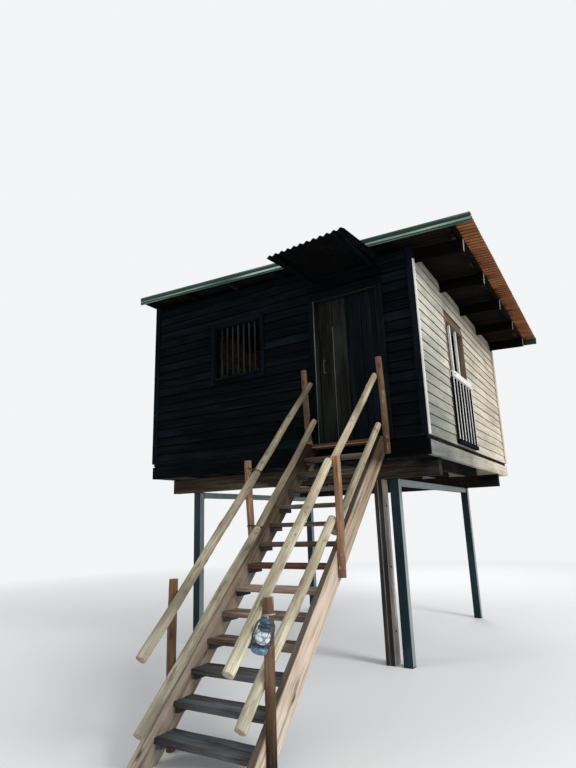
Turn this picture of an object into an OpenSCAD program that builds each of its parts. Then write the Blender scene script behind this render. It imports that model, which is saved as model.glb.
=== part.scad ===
// Tree house: a boarded cabin on four steel posts with a steep open stair.
// X runs to the right along the front, Y to the rear, Z up.
// The origin is the centre of the front right post's foot, on the ground.

/* [Posts and beams] */
// Distance between the left and right posts, centre to centre
span_x = 3040; // [2600:10:3600]
// Distance between the front and rear posts, centre to centre
span_y = 3330; // [2800:10:3800]
// Width of a square steel post
post_w = 110; // [90:5:140]
// Height of the posts, up to the timber beams
post_h = 2060; // [1800:10:2400]
// Height of the steel beams between the posts
side_beam_h = 80; // [60:5:120]
// Height of the timber cross beams
cross_beam_h = 200; // [150:10:240]
// Width of the timber cross beams
cross_beam_w = 120; // [80:5:150]
// Width of the brown timber post beside the front right post
timber_post_w = 112; // [90:2:140]
// Depth of the brown timber post
timber_post_d = 180; // [110:10:240]

/* [Cabin] */
// How far the cabin reaches past the left posts
over_left = 445; // [300:5:600]
// How far the cabin reaches past the right posts
over_right = 615; // [400:5:700]
// How far the cabin reaches past the front posts
over_front = 520; // [350:5:650]
// How far the cabin reaches past the rear posts
over_rear = 700; // [500:5:800]
// Thickness of the walls
wall_t = 90; // [60:5:130]
// Height of the floor frame
floor_frame_h = 180; // [140:5:220]
// Thickness of the floor boards
floor_t = 35; // [22:1:50]
// Height of the right wall, the lower one, above the floor
low_wall_h = 2235; // [2150:5:2500]

/* [Openings] */
// Width of the doorway, frame included
doorway_w = 890; // [780:5:980]
// Height of the doorway above the floor
doorway_h = 1880; // [1750:5:1950]
// Distance from the cabin's right face to the doorway
doorway_from_right = 460; // [400:5:520]
// Thickness of the door
door_t = 35; // [25:1:45]
// Width of the windows
window_w = 816; // [600:4:900]
// Height of the windows
window_h = 790; // [600:5:900]
// Height of the top of the windows above the floor
window_top = 1855; // [1700:5:1950]
// Distance from the cabin's left face to the front window
window_from_left = 1136; // [900:4:1300]
// Width of the tall opening in the right wall
side_gap_w = 940; // [700:5:1100]
// Height of the tall opening
side_gap_h = 1690; // [1500:5:1800]
// Distance from the cabin's front face to the tall opening
side_gap_from_front = 1240; // [1000:5:1500]
// Height of the balustrade above the floor
balustrade_h = 980; // [850:5:1050]

/* [Roof] */
// Fall of the roof towards the right, in degrees
roof_fall = 2.75; // [1:0.05:8]
// Overhang of the sheets on the right, past the wall
eave_right = 758; // [500:2:900]
// Overhang of the sheets on the left, past the wall
eave_left = 60; // [60:5:200]
// Overhang of the roof at the front and rear
eave_front = 270; // [150:5:350]
// Height of a rafter
rafter_h = 150; // [110:5:180]
// Width of a rafter
rafter_w = 60; // [45:5:80]
// Number of rafters
rafter_n = 5; // [4:1:6]
// Height of a purlin
purlin_h = 60; // [45:5:80]
// Number of purlins
purlin_n = 7; // [5:1:9]
// Pitch of the roof sheets' waves
wave_pitch = 76; // [70:2:100]
// Height of the roof sheets' waves
wave_h = 18; // [12:1:24]
// Pitch of the waves in the awning sheet over the door
canopy_pitch = 88; // [70:2:110]
// Number of waves in the awning sheet
canopy_waves = 12; // [10:1:14]
// Length of the awning sheet, away from the wall
canopy_l = 880; // [600:10:1000]
// Height of the awning sheet above the floor
canopy_h = 2125; // [2050:5:2150]
// Distance from the wall to the awning sheet's left front corner
canopy_front = 902; // [700:2:1000]
// How far the awning sheet reaches past the doorway's left side
canopy_side = 101; // [50:1:200]
// Angle at which the awning sheet lies askew, seen from above
canopy_skew = 5.6; // [0:0.1:8]

/* [Stair] */
// Horizontal distance from one tread to the next
going = 190; // [170:2:230]
// Number of steps up to the floor
step_n = 14; // [13:1:15]
// Depth of a tread
tread_d = 210; // [190:5:240]
// Thickness of a tread
tread_t = 40; // [30:1:50]
// Clear width of the stair
stair_w = 842; // [760:2:900]
// Thickness of a stringer
stringer_t = 55; // [40:1:65]
// Width of a stringer, square to its slope
stringer_w = 210; // [180:5:250]
// Distance from the cabin's right face to the stair's right stringer
stair_from_right = 459; // [420:1:500]
// Diameter of the upper handrail poles
rail_d = 72; // [50:1:80]
// Diameter of the lower handrail poles
low_rail_d = 82; // [60:1:90]
// Diameter of a newel pole
newel_d = 74; // [60:1:85]
// Distance from the front wall to the joint in the handrails
rail_joint = 1440; // [1200:10:1700]
// Distance from the joint in the handrails to the left middle newel
joint_newel = 140; // [60:5:200]
// Distance from the stringers' foot to the right bottom newel
newel_foot = 345; // [250:5:500]
// How much further up the stair the left bottom newel stands
newel_stagger = 170; // [0:5:250]
// Lean of the upper newels towards the foot of the stair, in degrees
newel_lean = 4; // [0:1:6]
// Height of the upper newels above the floor
newel_top_h = 900; // [800:10:1000]
// Height of the other newels above the line over the tread noses
newel_h = 780; // [700:10:900]
// How much further the newels on the right side reach
newel_extra = 60; // [0:5:120]
// How far the hanging newel on the right reaches below the line over the tread noses
newel_drop = 180; // [100:10:220]
// Diameter of the lantern's base
lantern_d = 136; // [110:2:150]
// Height of the lantern's body
lantern_h = 230; // [200:5:260]
// Angle at which the lantern hangs out of plumb, in degrees
lantern_tilt = 12; // [0:1:15]

/* [Hidden] */

$fn = 48;
eps = 1;
x_right = over_right;
x_left = -span_x - over_left;
y_front = -over_front;
y_rear = span_y + over_rear;
cabin_w = x_right - x_left;
cabin_d = y_rear - y_front;
frame_z = post_h + cross_beam_h;
floor_z = frame_z + floor_frame_h + floor_t;
wall_top = floor_z + low_wall_h;
fall = tan(roof_fall);
seat = 0.2;
floor_inset = 20;
joist_w = 50;
ring_w = 60;

doorway_x1 = x_right - doorway_from_right;
doorway_x0 = doorway_x1 - doorway_w;
jamb_w = 35;
door_gap = 5;
door_w = doorway_w - 2 * jamb_w - 2 * door_gap;
door_h = doorway_h - jamb_w - door_gap - 8;
door_y = y_front + wall_t - door_t;
pin_x = doorway_x1 - jamb_w - door_gap / 2;
pin_y = y_front + wall_t + 14;
hinge_z = [floor_z + 260, floor_z + doorway_h - 360];

window_x = x_left + window_from_left;
window_z = floor_z + window_top - window_h;
frame_w = 45;
gap_y = y_front + side_gap_from_front;
gap_z = floor_z + 60;

sheet_t = 3;
trim_t = 20;
purlin_w = 50;

step_h = floor_z / step_n;
slope = atan(step_h / going);
nose_y = y_front - 168;
stair_x1 = x_right - stair_from_right;
stair_x0 = stair_x1 - stair_w - 2 * stringer_t;
stringer_rise = 65;
rail_r = rail_d / 2;
low_rail_r = low_rail_d / 2;
newel_r = newel_d / 2;
newel_inset = 12;
rail_seat = 2;
cleat_w = 40;
foot_y = nose_y - (floor_z + stringer_rise) * going / step_h;

// Underside of the purlins above a point x, on the sloping roof plane
function roof_z(x) = wall_top + (x_right - x) * fall;
// Height of the line over the tread noses at a point y
function nose_z(y) = floor_z + (y - nose_y) * step_h / going;

steel = "darkslategray";
brown = "saddlebrown";
dark_board = [0.16, 0.17, 0.2];
pale_board = [0.68, 0.66, 0.62];
pole = [0.62, 0.55, 0.4];

module box(low, high) {
    translate(low)
        cube([high[0] - low[0], high[1] - low[1], high[2] - low[2]]);
}

module at_post(i, j) {
    translate([-i * span_x, j * span_y, 0])
        children();
}

module post() {
    color(steel)
        box([-post_w / 2, -post_w / 2, 0], [post_w / 2, post_w / 2, post_h]);
}

module post_front_left() { at_post(1, 0) post(); }
module post_front_right() { at_post(0, 0) post(); }
module post_rear_left() { at_post(1, 1) post(); }
module post_rear_right() { at_post(0, 1) post(); }

module timber_post() {
    color(brown)
        box([-post_w / 2 - 98 - timber_post_w, -40, 0],
            [-post_w / 2 - 98, -40 + timber_post_d, post_h]);
}

module side_beam() {
    color(steel)
        box([-side_beam_h / 2, post_w / 2, post_h - side_beam_h],
            [side_beam_h / 2, span_y - post_w / 2, post_h]);
}

module side_beam_left() { translate([-span_x, 0, 0]) side_beam(); }
module side_beam_right() { side_beam(); }

module cross_beam(y) {
    color(brown)
        box([x_left + 40, y - cross_beam_w / 2, post_h], [x_right - 40, y + cross_beam_w / 2, frame_z]);
}

module front_beam() { cross_beam(-50); }
module rear_beam() { cross_beam(span_y + 10); }

module floor_frame() {
    bays = 8;
    pitch = (cabin_w - ring_w) / bays;
    top = frame_z + floor_frame_h;
    color(brown) {
        for (y = [y_front, y_rear - ring_w])
            box([x_left, y, frame_z], [x_right, y + ring_w, top]);
        for (x = [x_left, x_right - ring_w])
            box([x, y_front + ring_w + seat, frame_z], [x + ring_w, y_rear - ring_w - seat, top]);
        for (i = [1 : bays - 1])
            box([x_left + i * pitch, y_front + ring_w + seat, frame_z],
                [x_left + i * pitch + joist_w, y_rear - ring_w - seat, top]);
    }
}

module floor() {
    color("peru")
        box([x_left + floor_inset, y_front + floor_inset, floor_z - floor_t],
            [x_right - floor_inset, y_rear - floor_inset, floor_z]);
}

// A wall along X between x0 and x1, from z0 up to the sloping roof
module wall_x(x0, x1, y0, z0) {
    translate([0, y0 + wall_t, 0])
        rotate([90, 0, 0])
            linear_extrude(wall_t)
                polygon([[x0, z0], [x1, z0], [x1, roof_z(x1) - seat], [x0, roof_z(x0) - seat]]);
}

// A wall along Y between the front and rear walls
module wall_y(x0) {
    translate([0, y_rear - wall_t, 0])
        rotate([90, 0, 0])
            linear_extrude(cabin_d - 2 * wall_t)
                polygon([[x0, floor_z], [x0 + wall_t, floor_z],
                [x0 + wall_t, roof_z(x0 + wall_t) - seat], [x0, roof_z(x0) - seat]]);
}

module front_wall_left() {
    color(dark_board)
        difference() {
            wall_x(x_left, doorway_x0, y_front, floor_z);
            box([window_x, y_front - eps, window_z],
                [window_x + window_w, y_front + wall_t + eps, window_z + window_h]);
        }
}

module front_wall_right() {
    color(dark_board)
        wall_x(doorway_x1, x_right, y_front, floor_z);
}

module front_wall_over_door() {
    color(dark_board)
        wall_x(doorway_x0, doorway_x1, y_front, floor_z + doorway_h);
}

module rear_wall() {
    color(pale_board)
        difference() {
            wall_x(x_left, x_right, y_rear - wall_t, floor_z);
            box([window_x, y_rear - wall_t - eps, window_z],
                [window_x + window_w, y_rear + eps, window_z + window_h]);
        }
}

module left_wall() {
    color(pale_board)
        difference() {
            wall_y(x_left);
            rafters(eps);
            box([x_left - eps, side_window_y, window_z],
                [x_left + wall_t + eps, side_window_y + window_w, window_z + window_h]);
        }
}

side_window_y = (y_front + y_rear - window_w) / 2;

module right_wall() {
    color(pale_board)
        difference() {
            wall_y(x_right - wall_t);
            rafters(eps);
            box([x_right - wall_t - eps, gap_y, gap_z],
                [x_right + eps, gap_y + side_gap_w, gap_z + side_gap_h]);
        }
}

// A frame of boards that lines an opening w wide and h high, in the XZ plane
module lining(w, h, depth) {
    difference() {
        cube([w, depth, h]);
        translate([frame_w, -eps, frame_w])
            cube([w - 2 * frame_w, depth + 2 * eps, h - 2 * frame_w]);
    }
}

module window_frame_front() {
    color("dimgray")
        translate([window_x, y_front, window_z])
            lining(window_w, window_h, wall_t);
}

module window_frame_rear() {
    color("dimgray")
        translate([window_x, y_rear - wall_t, window_z])
            lining(window_w, window_h, wall_t);
}

module window_frame_left() {
    color("dimgray")
        translate([x_left + wall_t, side_window_y, window_z])
            rotate([0, 0, 90])
                lining(window_w, window_h, wall_t);
}

module side_gap_frame() {
    color("dimgray")
        translate([x_right, gap_y, gap_z])
            rotate([0, 0, 90])
                lining(side_gap_w, side_gap_h, wall_t);
}

module balustrade() {
    bars = 7;
    rail_h = 85;
    foot_h = 55;
    bar_w = 42;
    depth = 60;
    y0 = gap_y - 30;
    y1 = gap_y + side_gap_w + 30;
    pitch = (y1 - y0 - bar_w) / (bars - 1);
    color("gainsboro")
        union() {
            box([x_right, y0, floor_z + balustrade_h - rail_h],
                [x_right + depth, y1, floor_z + balustrade_h]);
            box([x_right, y0, floor_z + 20], [x_right + depth - 10, y1, floor_z + 20 + foot_h]);
            for (i = [0 : bars - 1])
                box([x_right + 8, y0 + i * pitch, floor_z + 30],
                    [x_right + 8 + 32, y0 + i * pitch + bar_w, floor_z + balustrade_h - 10]);
        }
}

module door_frame() {
    color("dimgray")
        difference() {
            box([doorway_x0, y_front, floor_z], [doorway_x1, y_front + wall_t, floor_z + doorway_h]);
            box([doorway_x0 + jamb_w, y_front - eps, floor_z - eps],
                [doorway_x1 - jamb_w, y_front + wall_t + eps, floor_z + doorway_h - jamb_w]);
        }
}

// Two fixed pins on plates, screwed to the inner face of the right jamb
module door_hinges() {
    color("dimgray")
        for (z = hinge_z) {
            translate([pin_x, pin_y, z - 40])
                cylinder(r = 6, h = 120);
            translate([pin_x, pin_y, z - 40])
                cylinder(r = 12, h = 30);
            box([pin_x, y_front + wall_t, z - 40], [pin_x + 60, y_front + wall_t + 6, z - 10]);
            box([pin_x, y_front + wall_t, z - 40], [pin_x + 10, pin_y, z - 10]);
        }
}

module door() {
    strap_l = door_w * 0.55;
    color([0.3, 0.26, 0.24])
        union() {
            box([doorway_x0 + jamb_w + door_gap, door_y, floor_z + 8],
                [doorway_x0 + jamb_w + door_gap + door_w, door_y + door_t, floor_z + 8 + door_h]);
            for (z = hinge_z) {
                difference() {
                    union() {
                        translate([pin_x, pin_y, z - 8])
                            cylinder(r = 12, h = 80);
                        box([pin_x - strap_l, y_front + wall_t - eps, z - 8],
                            [pin_x - 2, y_front + wall_t + 6, z + 72]);
                        box([pin_x - 12, y_front + wall_t, z - 8], [pin_x - 2, pin_y, z + 72]);
                    }
                    translate([pin_x, pin_y, z - 20])
                        cylinder(r = 6.6, h = 110);
                }
            }
        }
}

// The roof's own frame: its X runs down the slope, its zero is the underside of the purlins
module on_roof() {
    translate([x_right, 0, wall_top])
        rotate([0, roof_fall, 0])
            children();
}

up_l = (cabin_w + eave_left) / cos(roof_fall);
down_l = eave_right / cos(roof_fall);
rafter_down = down_l - 180;
rafter_y0 = y_front + wall_t + 10;
rafter_y1 = y_rear - wall_t - 10 - rafter_w;

module rafters(top) {
    pitch = (rafter_y1 - rafter_y0) / (rafter_n - 1);
    on_roof()
        for (i = [0 : rafter_n - 1])
            box([-up_l + 40, rafter_y0 + i * pitch, -rafter_h],
                [rafter_down, rafter_y0 + i * pitch + rafter_w, top]);
}

module purlins() {
    pitch = (up_l + rafter_down - 50 - purlin_w) / (purlin_n - 1);
    on_roof()
        for (i = [0 : purlin_n - 1])
            box([-up_l + 30 + i * pitch, y_front - eave_front, 0],
                [-up_l + 30 + i * pitch + purlin_w, y_rear + eave_front, purlin_h]);
}

module roof_frame() {
    color(brown) {
        rafters(-seat);
        purlins();
    }
}

// Height of a wave at its quarter i, as a share of the whole wave
function wave(i) = (i % 4 == 0) ? 0 : (i % 4 == 2) ? 1 : 0.5;

// A corrugated sheet, drawn across its width and extruded along its length
module corrugated(waves, pitch, height, length) {
    n = 4 * waves;
    under = [for (i = [0 : n]) [i * pitch / 4, wave(i) * height]];
    upper = [for (i = [0 : n]) [(n - i) * pitch / 4, wave(n - i) * height + sheet_t]];
    linear_extrude(length)
        polygon(concat(under, upper));
}

module roof_sheets() {
    waves = floor((cabin_d + 2 * eave_front) / wave_pitch);
    width = waves * wave_pitch;
    color("sienna")
        on_roof()
            translate([-up_l, (y_front + y_rear - width) / 2, purlin_h])
                rotate([90, 0, 90])
                    corrugated(waves, wave_pitch, wave_h, up_l + down_l);
}

// Two bands along the edge of the roof, the upper one folded back over the sheets
module edge_trim() {
    top = purlin_h + wave_h + sheet_t;
    color([0.2, 0.27, 0.26])
        union() {
            box([-up_l, -trim_t, -22], [down_l, 0, top + 4]);
            box([-up_l, -trim_t - 8, 36], [down_l, -trim_t + eps, top + 4]);
            box([-up_l, -trim_t, top], [down_l, 60, top + 4]);
        }
}

module front_trim() {
    on_roof()
        translate([0, y_front - eave_front, 0])
            edge_trim();
}

module rear_trim() {
    on_roof()
        translate([0, y_rear + eave_front, 0])
            mirror([0, 1, 0])
                edge_trim();
}

// An awning over the door: a corrugated sheet, laid askew on two arms and a ledger on the wall
module canopy() {
    arm = 45;
    z = floor_z + canopy_h;
    ledger_h = 90;
    color([0.13, 0.13, 0.14]) {
        translate([doorway_x0 - canopy_side, y_front - canopy_front, z])
            rotate([0, 0, -canopy_skew])
                translate([0, canopy_l, 0])
                    rotate([90, 0, 0])
                        corrugated(canopy_waves, canopy_pitch, wave_h + 6, canopy_l);
        for (x = [doorway_x0 - 5, doorway_x1 - 40])
            box([x, y_front - canopy_front + 60, z - seat - arm], [x + arm, y_front - seat, z - seat]);
        box([doorway_x0 - 60, y_front - arm, z - 2 * seat - arm - ledger_h],
            [doorway_x1 + 60, y_front - seat, z - 2 * seat - arm]);
    }
}

module threshold() {
    color([0.45, 0.27, 0.2])
        union() {
            box([stair_x0 + stringer_t, nose_y, floor_z - 45], [stair_x1 - stringer_t, y_front, floor_z]);
            box([stair_x0 + stringer_t, y_front - eps, floor_z - floor_t],
                [stair_x1 - stringer_t, y_front + floor_inset, floor_z]);
        }
}

// A plank with a plumb cut at the top, a level cut at the foot and a cleat under each tread
module stringer(cleat_x) {
    drop = stringer_w / cos(slope);
    top_y = nose_y - stringer_rise * going / step_h;
    rotate([90, 0, 90])
        linear_extrude(stringer_t)
            polygon([[foot_y, 0], [foot_y + drop * going / step_h, 0],
                [y_front, nose_z(y_front) + stringer_rise - drop], [y_front, floor_z], [top_y, floor_z]]);
    for (k = [1 : step_n - 1])
        translate([cleat_x, tread_y(k) + 20, k * step_h - tread_t - cleat_w - seat])
            cube([cleat_w + eps, tread_d - 50, cleat_w]);
}

function tread_y(k) = nose_y - (step_n - k) * going;

module stringer_left() {
    color([0.5, 0.4, 0.34])
        translate([stair_x0, 0, 0])
            stringer(stringer_t - eps);
}

module stringer_right() {
    color([0.5, 0.4, 0.34])
        translate([stair_x1 - stringer_t, 0, 0])
            stringer(-cleat_w);
}

module treads() {
    color([0.3, 0.28, 0.27])
        for (k = [1 : step_n - 1])
            box([stair_x0 + stringer_t, tread_y(k), k * step_h - tread_t],
                [stair_x1 - stringer_t, tread_y(k) + tread_d, k * step_h]);
}

// A round pole from one point (y, height over the nose line) to another, in the plane x
module rail_piece(x, from, to, r) {
    a = [from[0], nose_z(from[0]) + from[1]];
    b = [to[0], nose_z(to[0]) + to[1]];
    run = b[0] - a[0];
    drop = b[1] - a[1];
    translate([x, a[0], a[1]])
        rotate([atan2(-run, drop), 0, 0])
            cylinder(r = r, h = norm([run, drop]));
}

// Axis of a rail of radius r, just inside the outer face of the left (-1) or right (1) stringer
function rail_x(side, r) = side < 0 ? stair_x0 + r - rail_seat : stair_x1 - r + rail_seat;

top_y = nose_y - 20;
joint_y = y_front - rail_joint;
low_y = foot_y + 20;
splice = 6;

// Heights of each rail above the line over the tread noses, from its top end past its joint to its low end
left_upper_h = [684, 652, 655, 645];
left_lower_h = [180, 116, 122.5, 168];
right_upper_h = [724, 761, 822, 800];
right_lower_h = [160, 188, 312, 356];

// An upper and a lower pole of one rail, end to end at the joint or lapped past it
module rail(side, top, joint, low, h, lap = 0) {
    rail_piece(rail_x(side, rail_r), [top, h[0]], [joint + lap, h[1]], rail_r);
    rail_piece(rail_x(side, low_rail_r), [joint - splice, h[2]], [low, h[3]], low_rail_r);
}

module rails_left_upper() {
    rail(-1, top_y + 90, joint_y + joint_newel + 10, low_y + 106, left_upper_h);
}

module rails_left_lower() {
    rail(-1, top_y + 150, joint_y + joint_newel + 10, low_y + 106, left_lower_h);
}

module rails_right_upper() {
    rail(1, top_y - 10, joint_y + splice, low_y - 35, right_upper_h, 30);
}

module rails_right_lower() {
    rail(1, top_y - 10, joint_y + 20, low_y + 80, right_lower_h);
}

module handrail_left_upper() { color(pole) rails_left_upper(); }
module handrail_left_lower() { color(pole) rails_left_lower(); }
module handrail_right_upper() { color(pole) rails_right_upper(); }
module handrail_right_lower() { color(pole) rails_right_lower(); }

// A newel pole, cut flat against its stringer and notched for the rails
module newel(side, y, z0, z1, lean) {
    x = side < 0 ? stair_x0 - newel_r + newel_inset : stair_x1 + newel_r - newel_inset;
    color("peru")
        difference() {
            translate([x, y, z0])
                rotate([lean, 0, 0])
                    cylinder(r = newel_r, h = z1 - z0);
            rails_left_upper();
            rails_left_lower();
            rails_right_upper();
            rails_right_lower();
            box([stair_x0, foot_y - 400, -200], [stair_x1, y_front, floor_z]);
        }
}

top_left_y = y_front - 58;
top_right_y = y_front - 128;
mid_left_y = joint_y + joint_newel;
mid_right_y = joint_y + 20;
bottom_y = foot_y + newel_foot;
bottom_left_y = bottom_y + newel_stagger;

module newel_top_left() { newel(-1, top_left_y, frame_z - 80, floor_z + newel_top_h + 30, newel_lean); }
module newel_top_right() { newel(1, top_right_y, frame_z + 30, floor_z + newel_top_h, newel_lean); }
module newel_middle_left() {
    newel(-1, mid_left_y, nose_z(mid_left_y) - 30, nose_z(mid_left_y) + newel_h, newel_lean);
}
module newel_middle_right() {
    newel(1, mid_right_y, nose_z(mid_right_y) - newel_drop, nose_z(mid_right_y) + newel_h + newel_extra, 0);
}
module newel_bottom_left() { newel(-1, bottom_left_y, 0, nose_z(bottom_left_y) + newel_h, 0); }
module newel_bottom_right() { newel(1, bottom_y, 0, nose_z(bottom_y) + newel_h + newel_extra + 25, 0); }

// A hurricane lantern that hangs askew from a clip round the outer side of the right bottom newel
module lantern() {
    r = lantern_d / 2;
    k = lantern_h / 262;
    x = stair_x1 + newel_r - newel_inset;
    ring_z = nose_z(bottom_y) + newel_h - 30;
    out = [r - 10, -r - 50];
    color("steelblue")
        union() {
            difference() {
                translate([x, bottom_y, ring_z])
                    cylinder(r = newel_r + 8, h = 16);
                translate([x, bottom_y, ring_z - eps])
                    cylinder(r = newel_r, h = 16 + 2 * eps);
                box([x - newel_r - 20, bottom_y - newel_r - 20, ring_z - eps],
                    [x - newel_r * 0.4, bottom_y + newel_r + 20, ring_z + 16 + eps]);
            }
            translate([x + out[0], bottom_y + out[1], ring_z + 7])
                rotate([0, lantern_tilt, 0])
                    translate([0, 0, -lantern_h])
                        rotate_extrude()
                            polygon([[0, 0], [r * 0.93, 0], [r, 12 * k], [r, 52 * k], [r * 0.8, 66 * k],
                                [r * 0.45, 78 * k], [r * 0.68, 110 * k], [r * 0.68, 135 * k],
                                [r * 0.45, 180 * k], [r * 0.62, 190 * k], [r * 0.62, 204 * k],
                                [r * 0.4, 232 * k], [r * 0.4, lantern_h], [0, lantern_h]]);
            translate([x, bottom_y, ring_z + 5])
                rotate([0, 0, atan2(out[1], out[0])])
                    translate([newel_r + 2, 0, 0])
                        rotate([0, 90, 0])
                            cylinder(r = 4, h = norm(out) - newel_r);
        }
}

post_front_left();
post_front_right();
post_rear_left();
post_rear_right();
timber_post();
side_beam_left();
side_beam_right();
front_beam();
rear_beam();
floor_frame();
floor();
front_wall_left();
front_wall_right();
front_wall_over_door();
left_wall();
right_wall();
rear_wall();
window_frame_front();
window_frame_left();
window_frame_rear();
side_gap_frame();
balustrade();
door_frame();
door_hinges();
door();
roof_frame();
roof_sheets();
front_trim();
rear_trim();
canopy();
threshold();
stringer_left();
stringer_right();
treads();
newel_top_left();
newel_top_right();
newel_middle_left();
newel_middle_right();
newel_bottom_left();
newel_bottom_right();
handrail_left_upper();
handrail_left_lower();
handrail_right_upper();
handrail_right_lower();
lantern();
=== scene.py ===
"""Tree house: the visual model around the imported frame. Metres, X right, Y to the rear, Z up."""
import math
import random

import bmesh
import bpy
from mathutils import Matrix, Vector, noise


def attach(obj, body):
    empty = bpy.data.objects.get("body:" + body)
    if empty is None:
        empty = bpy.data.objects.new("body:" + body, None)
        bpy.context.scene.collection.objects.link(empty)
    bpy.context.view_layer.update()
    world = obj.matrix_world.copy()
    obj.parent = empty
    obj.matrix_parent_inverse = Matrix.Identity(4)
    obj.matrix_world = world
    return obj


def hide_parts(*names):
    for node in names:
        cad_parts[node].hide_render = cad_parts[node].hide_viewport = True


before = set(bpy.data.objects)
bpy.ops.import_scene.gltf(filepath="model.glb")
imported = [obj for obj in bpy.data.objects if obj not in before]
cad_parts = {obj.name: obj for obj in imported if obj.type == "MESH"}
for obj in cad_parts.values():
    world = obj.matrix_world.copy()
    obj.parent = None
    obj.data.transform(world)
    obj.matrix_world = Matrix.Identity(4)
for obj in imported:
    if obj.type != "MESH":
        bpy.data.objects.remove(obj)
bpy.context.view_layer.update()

X, Y, Z = Vector((1, 0, 0)), Vector((0, 1, 0)), Vector((0, 0, 1))

# Sizes of the CAD model
LEFT, RIGHT = -3.485, 0.615
FRONT, REAR = -0.520, 4.030
FRAME_Z = 2.260
FLOOR_Z = 2.475
WALL_TOP = 4.710
WALL_T = 0.090
ROOF_FALL = math.radians(2.75)
DOORWAY = (-0.735, 0.155, 4.355)
DOOR = (-0.695, 0.115, 2.483, 4.315)
WINDOW_X = (-2.349, -1.533)
WINDOW_Y = (1.347, 2.163)
WINDOW_Z = (3.540, 4.330)
GAP_Y = (0.720, 1.660)
GAP_Z = (2.535, 4.225)
POST_X, POST_Y, POST_HALF = -3.040, 3.330, 0.055
BEAM_Z = 2.060
STAIR_X = (-0.796, 0.156)
STRINGER_T, STRINGER_W = 0.055, 0.210
NOSE_Y = -0.688
GOING = 0.190
STEPS = 14
STEP_H = FLOOR_Z / STEPS
RAFTER_H, PURLIN_H = 0.150, 0.060
UP_L = 4.160 / math.cos(ROOF_FALL)
DOWN_L = 0.758 / math.cos(ROOF_FALL)
ROOF = Matrix.Translation((RIGHT, 0, WALL_TOP)) @ Matrix.Rotation(ROOF_FALL, 4, "Y")
ROOF_TURN = ROOF.to_3x3()


def roof_z(x):
    """Underside of the purlins over x."""
    return WALL_TOP + (RIGHT - x) * math.tan(ROOF_FALL)


def nose_z(y):
    """Height of the line through the noses of the steps."""
    return FLOOR_Z + (y - NOSE_Y) * STEP_H / GOING


# Materials

MATERIALS = {}
AS_IS = (1.0, 1.0, 1.0)


class Material:
    """A procedural material under construction."""

    def __init__(self, name, rough=0.7, metallic=0.0, specular=0.35):
        self.name = name
        self.material = bpy.data.materials.new(name)
        self.material.use_nodes = True
        self.tree = self.material.node_tree
        self.tree.nodes.clear()
        self.bsdf = self.node("ShaderNodeBsdfPrincipled")
        out = self.node("ShaderNodeOutputMaterial")
        self.link(self.bsdf.outputs[0], out.inputs[0])
        self.bsdf.inputs["Roughness"].default_value = rough
        self.bsdf.inputs["Metallic"].default_value = metallic
        self.bsdf.inputs["Specular IOR Level"].default_value = specular

    def node(self, kind, **values):
        n = self.tree.nodes.new(kind)
        for key, value in values.items():
            setattr(n, key, value)
        return n

    def link(self, a, b):
        self.tree.links.new(a, b)

    def put(self, socket, value):
        if isinstance(value, bpy.types.NodeSocket):
            self.link(value, socket)
        else:
            socket.default_value = value

    def attribute(self, name, output):
        return self.node("ShaderNodeAttribute", attribute_name=name).outputs[output]

    def place(self):
        return self.node("ShaderNodeTexCoord").outputs["Object"]

    def scaled(self, vector, scale):
        n = self.node("ShaderNodeMapping")
        self.link(vector, n.inputs["Vector"])
        n.inputs["Scale"].default_value = scale
        return n.outputs[0]

    def noise(self, vector, scale, detail=4.0, rough=0.55, distortion=0.0):
        n = self.node("ShaderNodeTexNoise")
        self.link(vector, n.inputs["Vector"])
        values = {"Scale": scale, "Detail": detail, "Roughness": rough, "Distortion": distortion}
        for key, value in values.items():
            n.inputs[key].default_value = value
        return n.outputs["Fac"]

    def cells(self, vector):
        n = self.node("ShaderNodeTexVoronoi")
        self.link(vector, n.inputs["Vector"])
        n.inputs["Scale"].default_value = 1.0
        return n.outputs["Distance"]

    def axis(self, vector, axis):
        n = self.node("ShaderNodeSeparateXYZ")
        self.link(vector, n.inputs[0])
        return n.outputs[axis]

    def ramp(self, fac, *stops):
        n = self.node("ShaderNodeValToRGB")
        self.link(fac, n.inputs[0])
        while len(n.color_ramp.elements) < len(stops):
            n.color_ramp.elements.new(0.5)
        for element, (place, colour) in zip(n.color_ramp.elements, stops):
            element.position = place
            element.color = (colour, colour, colour, 1.0) if isinstance(colour, float) else (*colour, 1.0)
        return n.outputs[0]

    def mix(self, fac, a, b, mode="MIX"):
        n = self.node("ShaderNodeMix", data_type="RGBA", blend_type=mode)
        self.put(n.inputs[0], fac)
        for socket, value in ((n.inputs[6], a), (n.inputs[7], b)):
            self.put(socket, value if isinstance(value, bpy.types.NodeSocket) else (*value, 1.0))
        return n.outputs[2]

    def shade(self, colour, by):
        return self.mix(1.0, colour, by, "MULTIPLY")

    def maths(self, operation, a, b=0.0):
        n = self.node("ShaderNodeMath", operation=operation)
        self.put(n.inputs[0], a)
        self.put(n.inputs[1], b)
        return n.outputs[0]

    def finish(self, colour, height=None, strength=0.3, distance=0.002, rough=None):
        self.link(colour, self.bsdf.inputs["Base Color"])
        if rough is not None:
            self.link(rough, self.bsdf.inputs["Roughness"])
        if height is not None:
            n = self.node("ShaderNodeBump")
            n.inputs["Strength"].default_value = strength
            n.inputs["Distance"].default_value = distance
            self.link(height, n.inputs["Height"])
            self.link(n.outputs[0], self.bsdf.inputs["Normal"])
        MATERIALS[self.name] = self.material


def times(colour, share):
    return tuple(c * share for c in colour)


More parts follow.
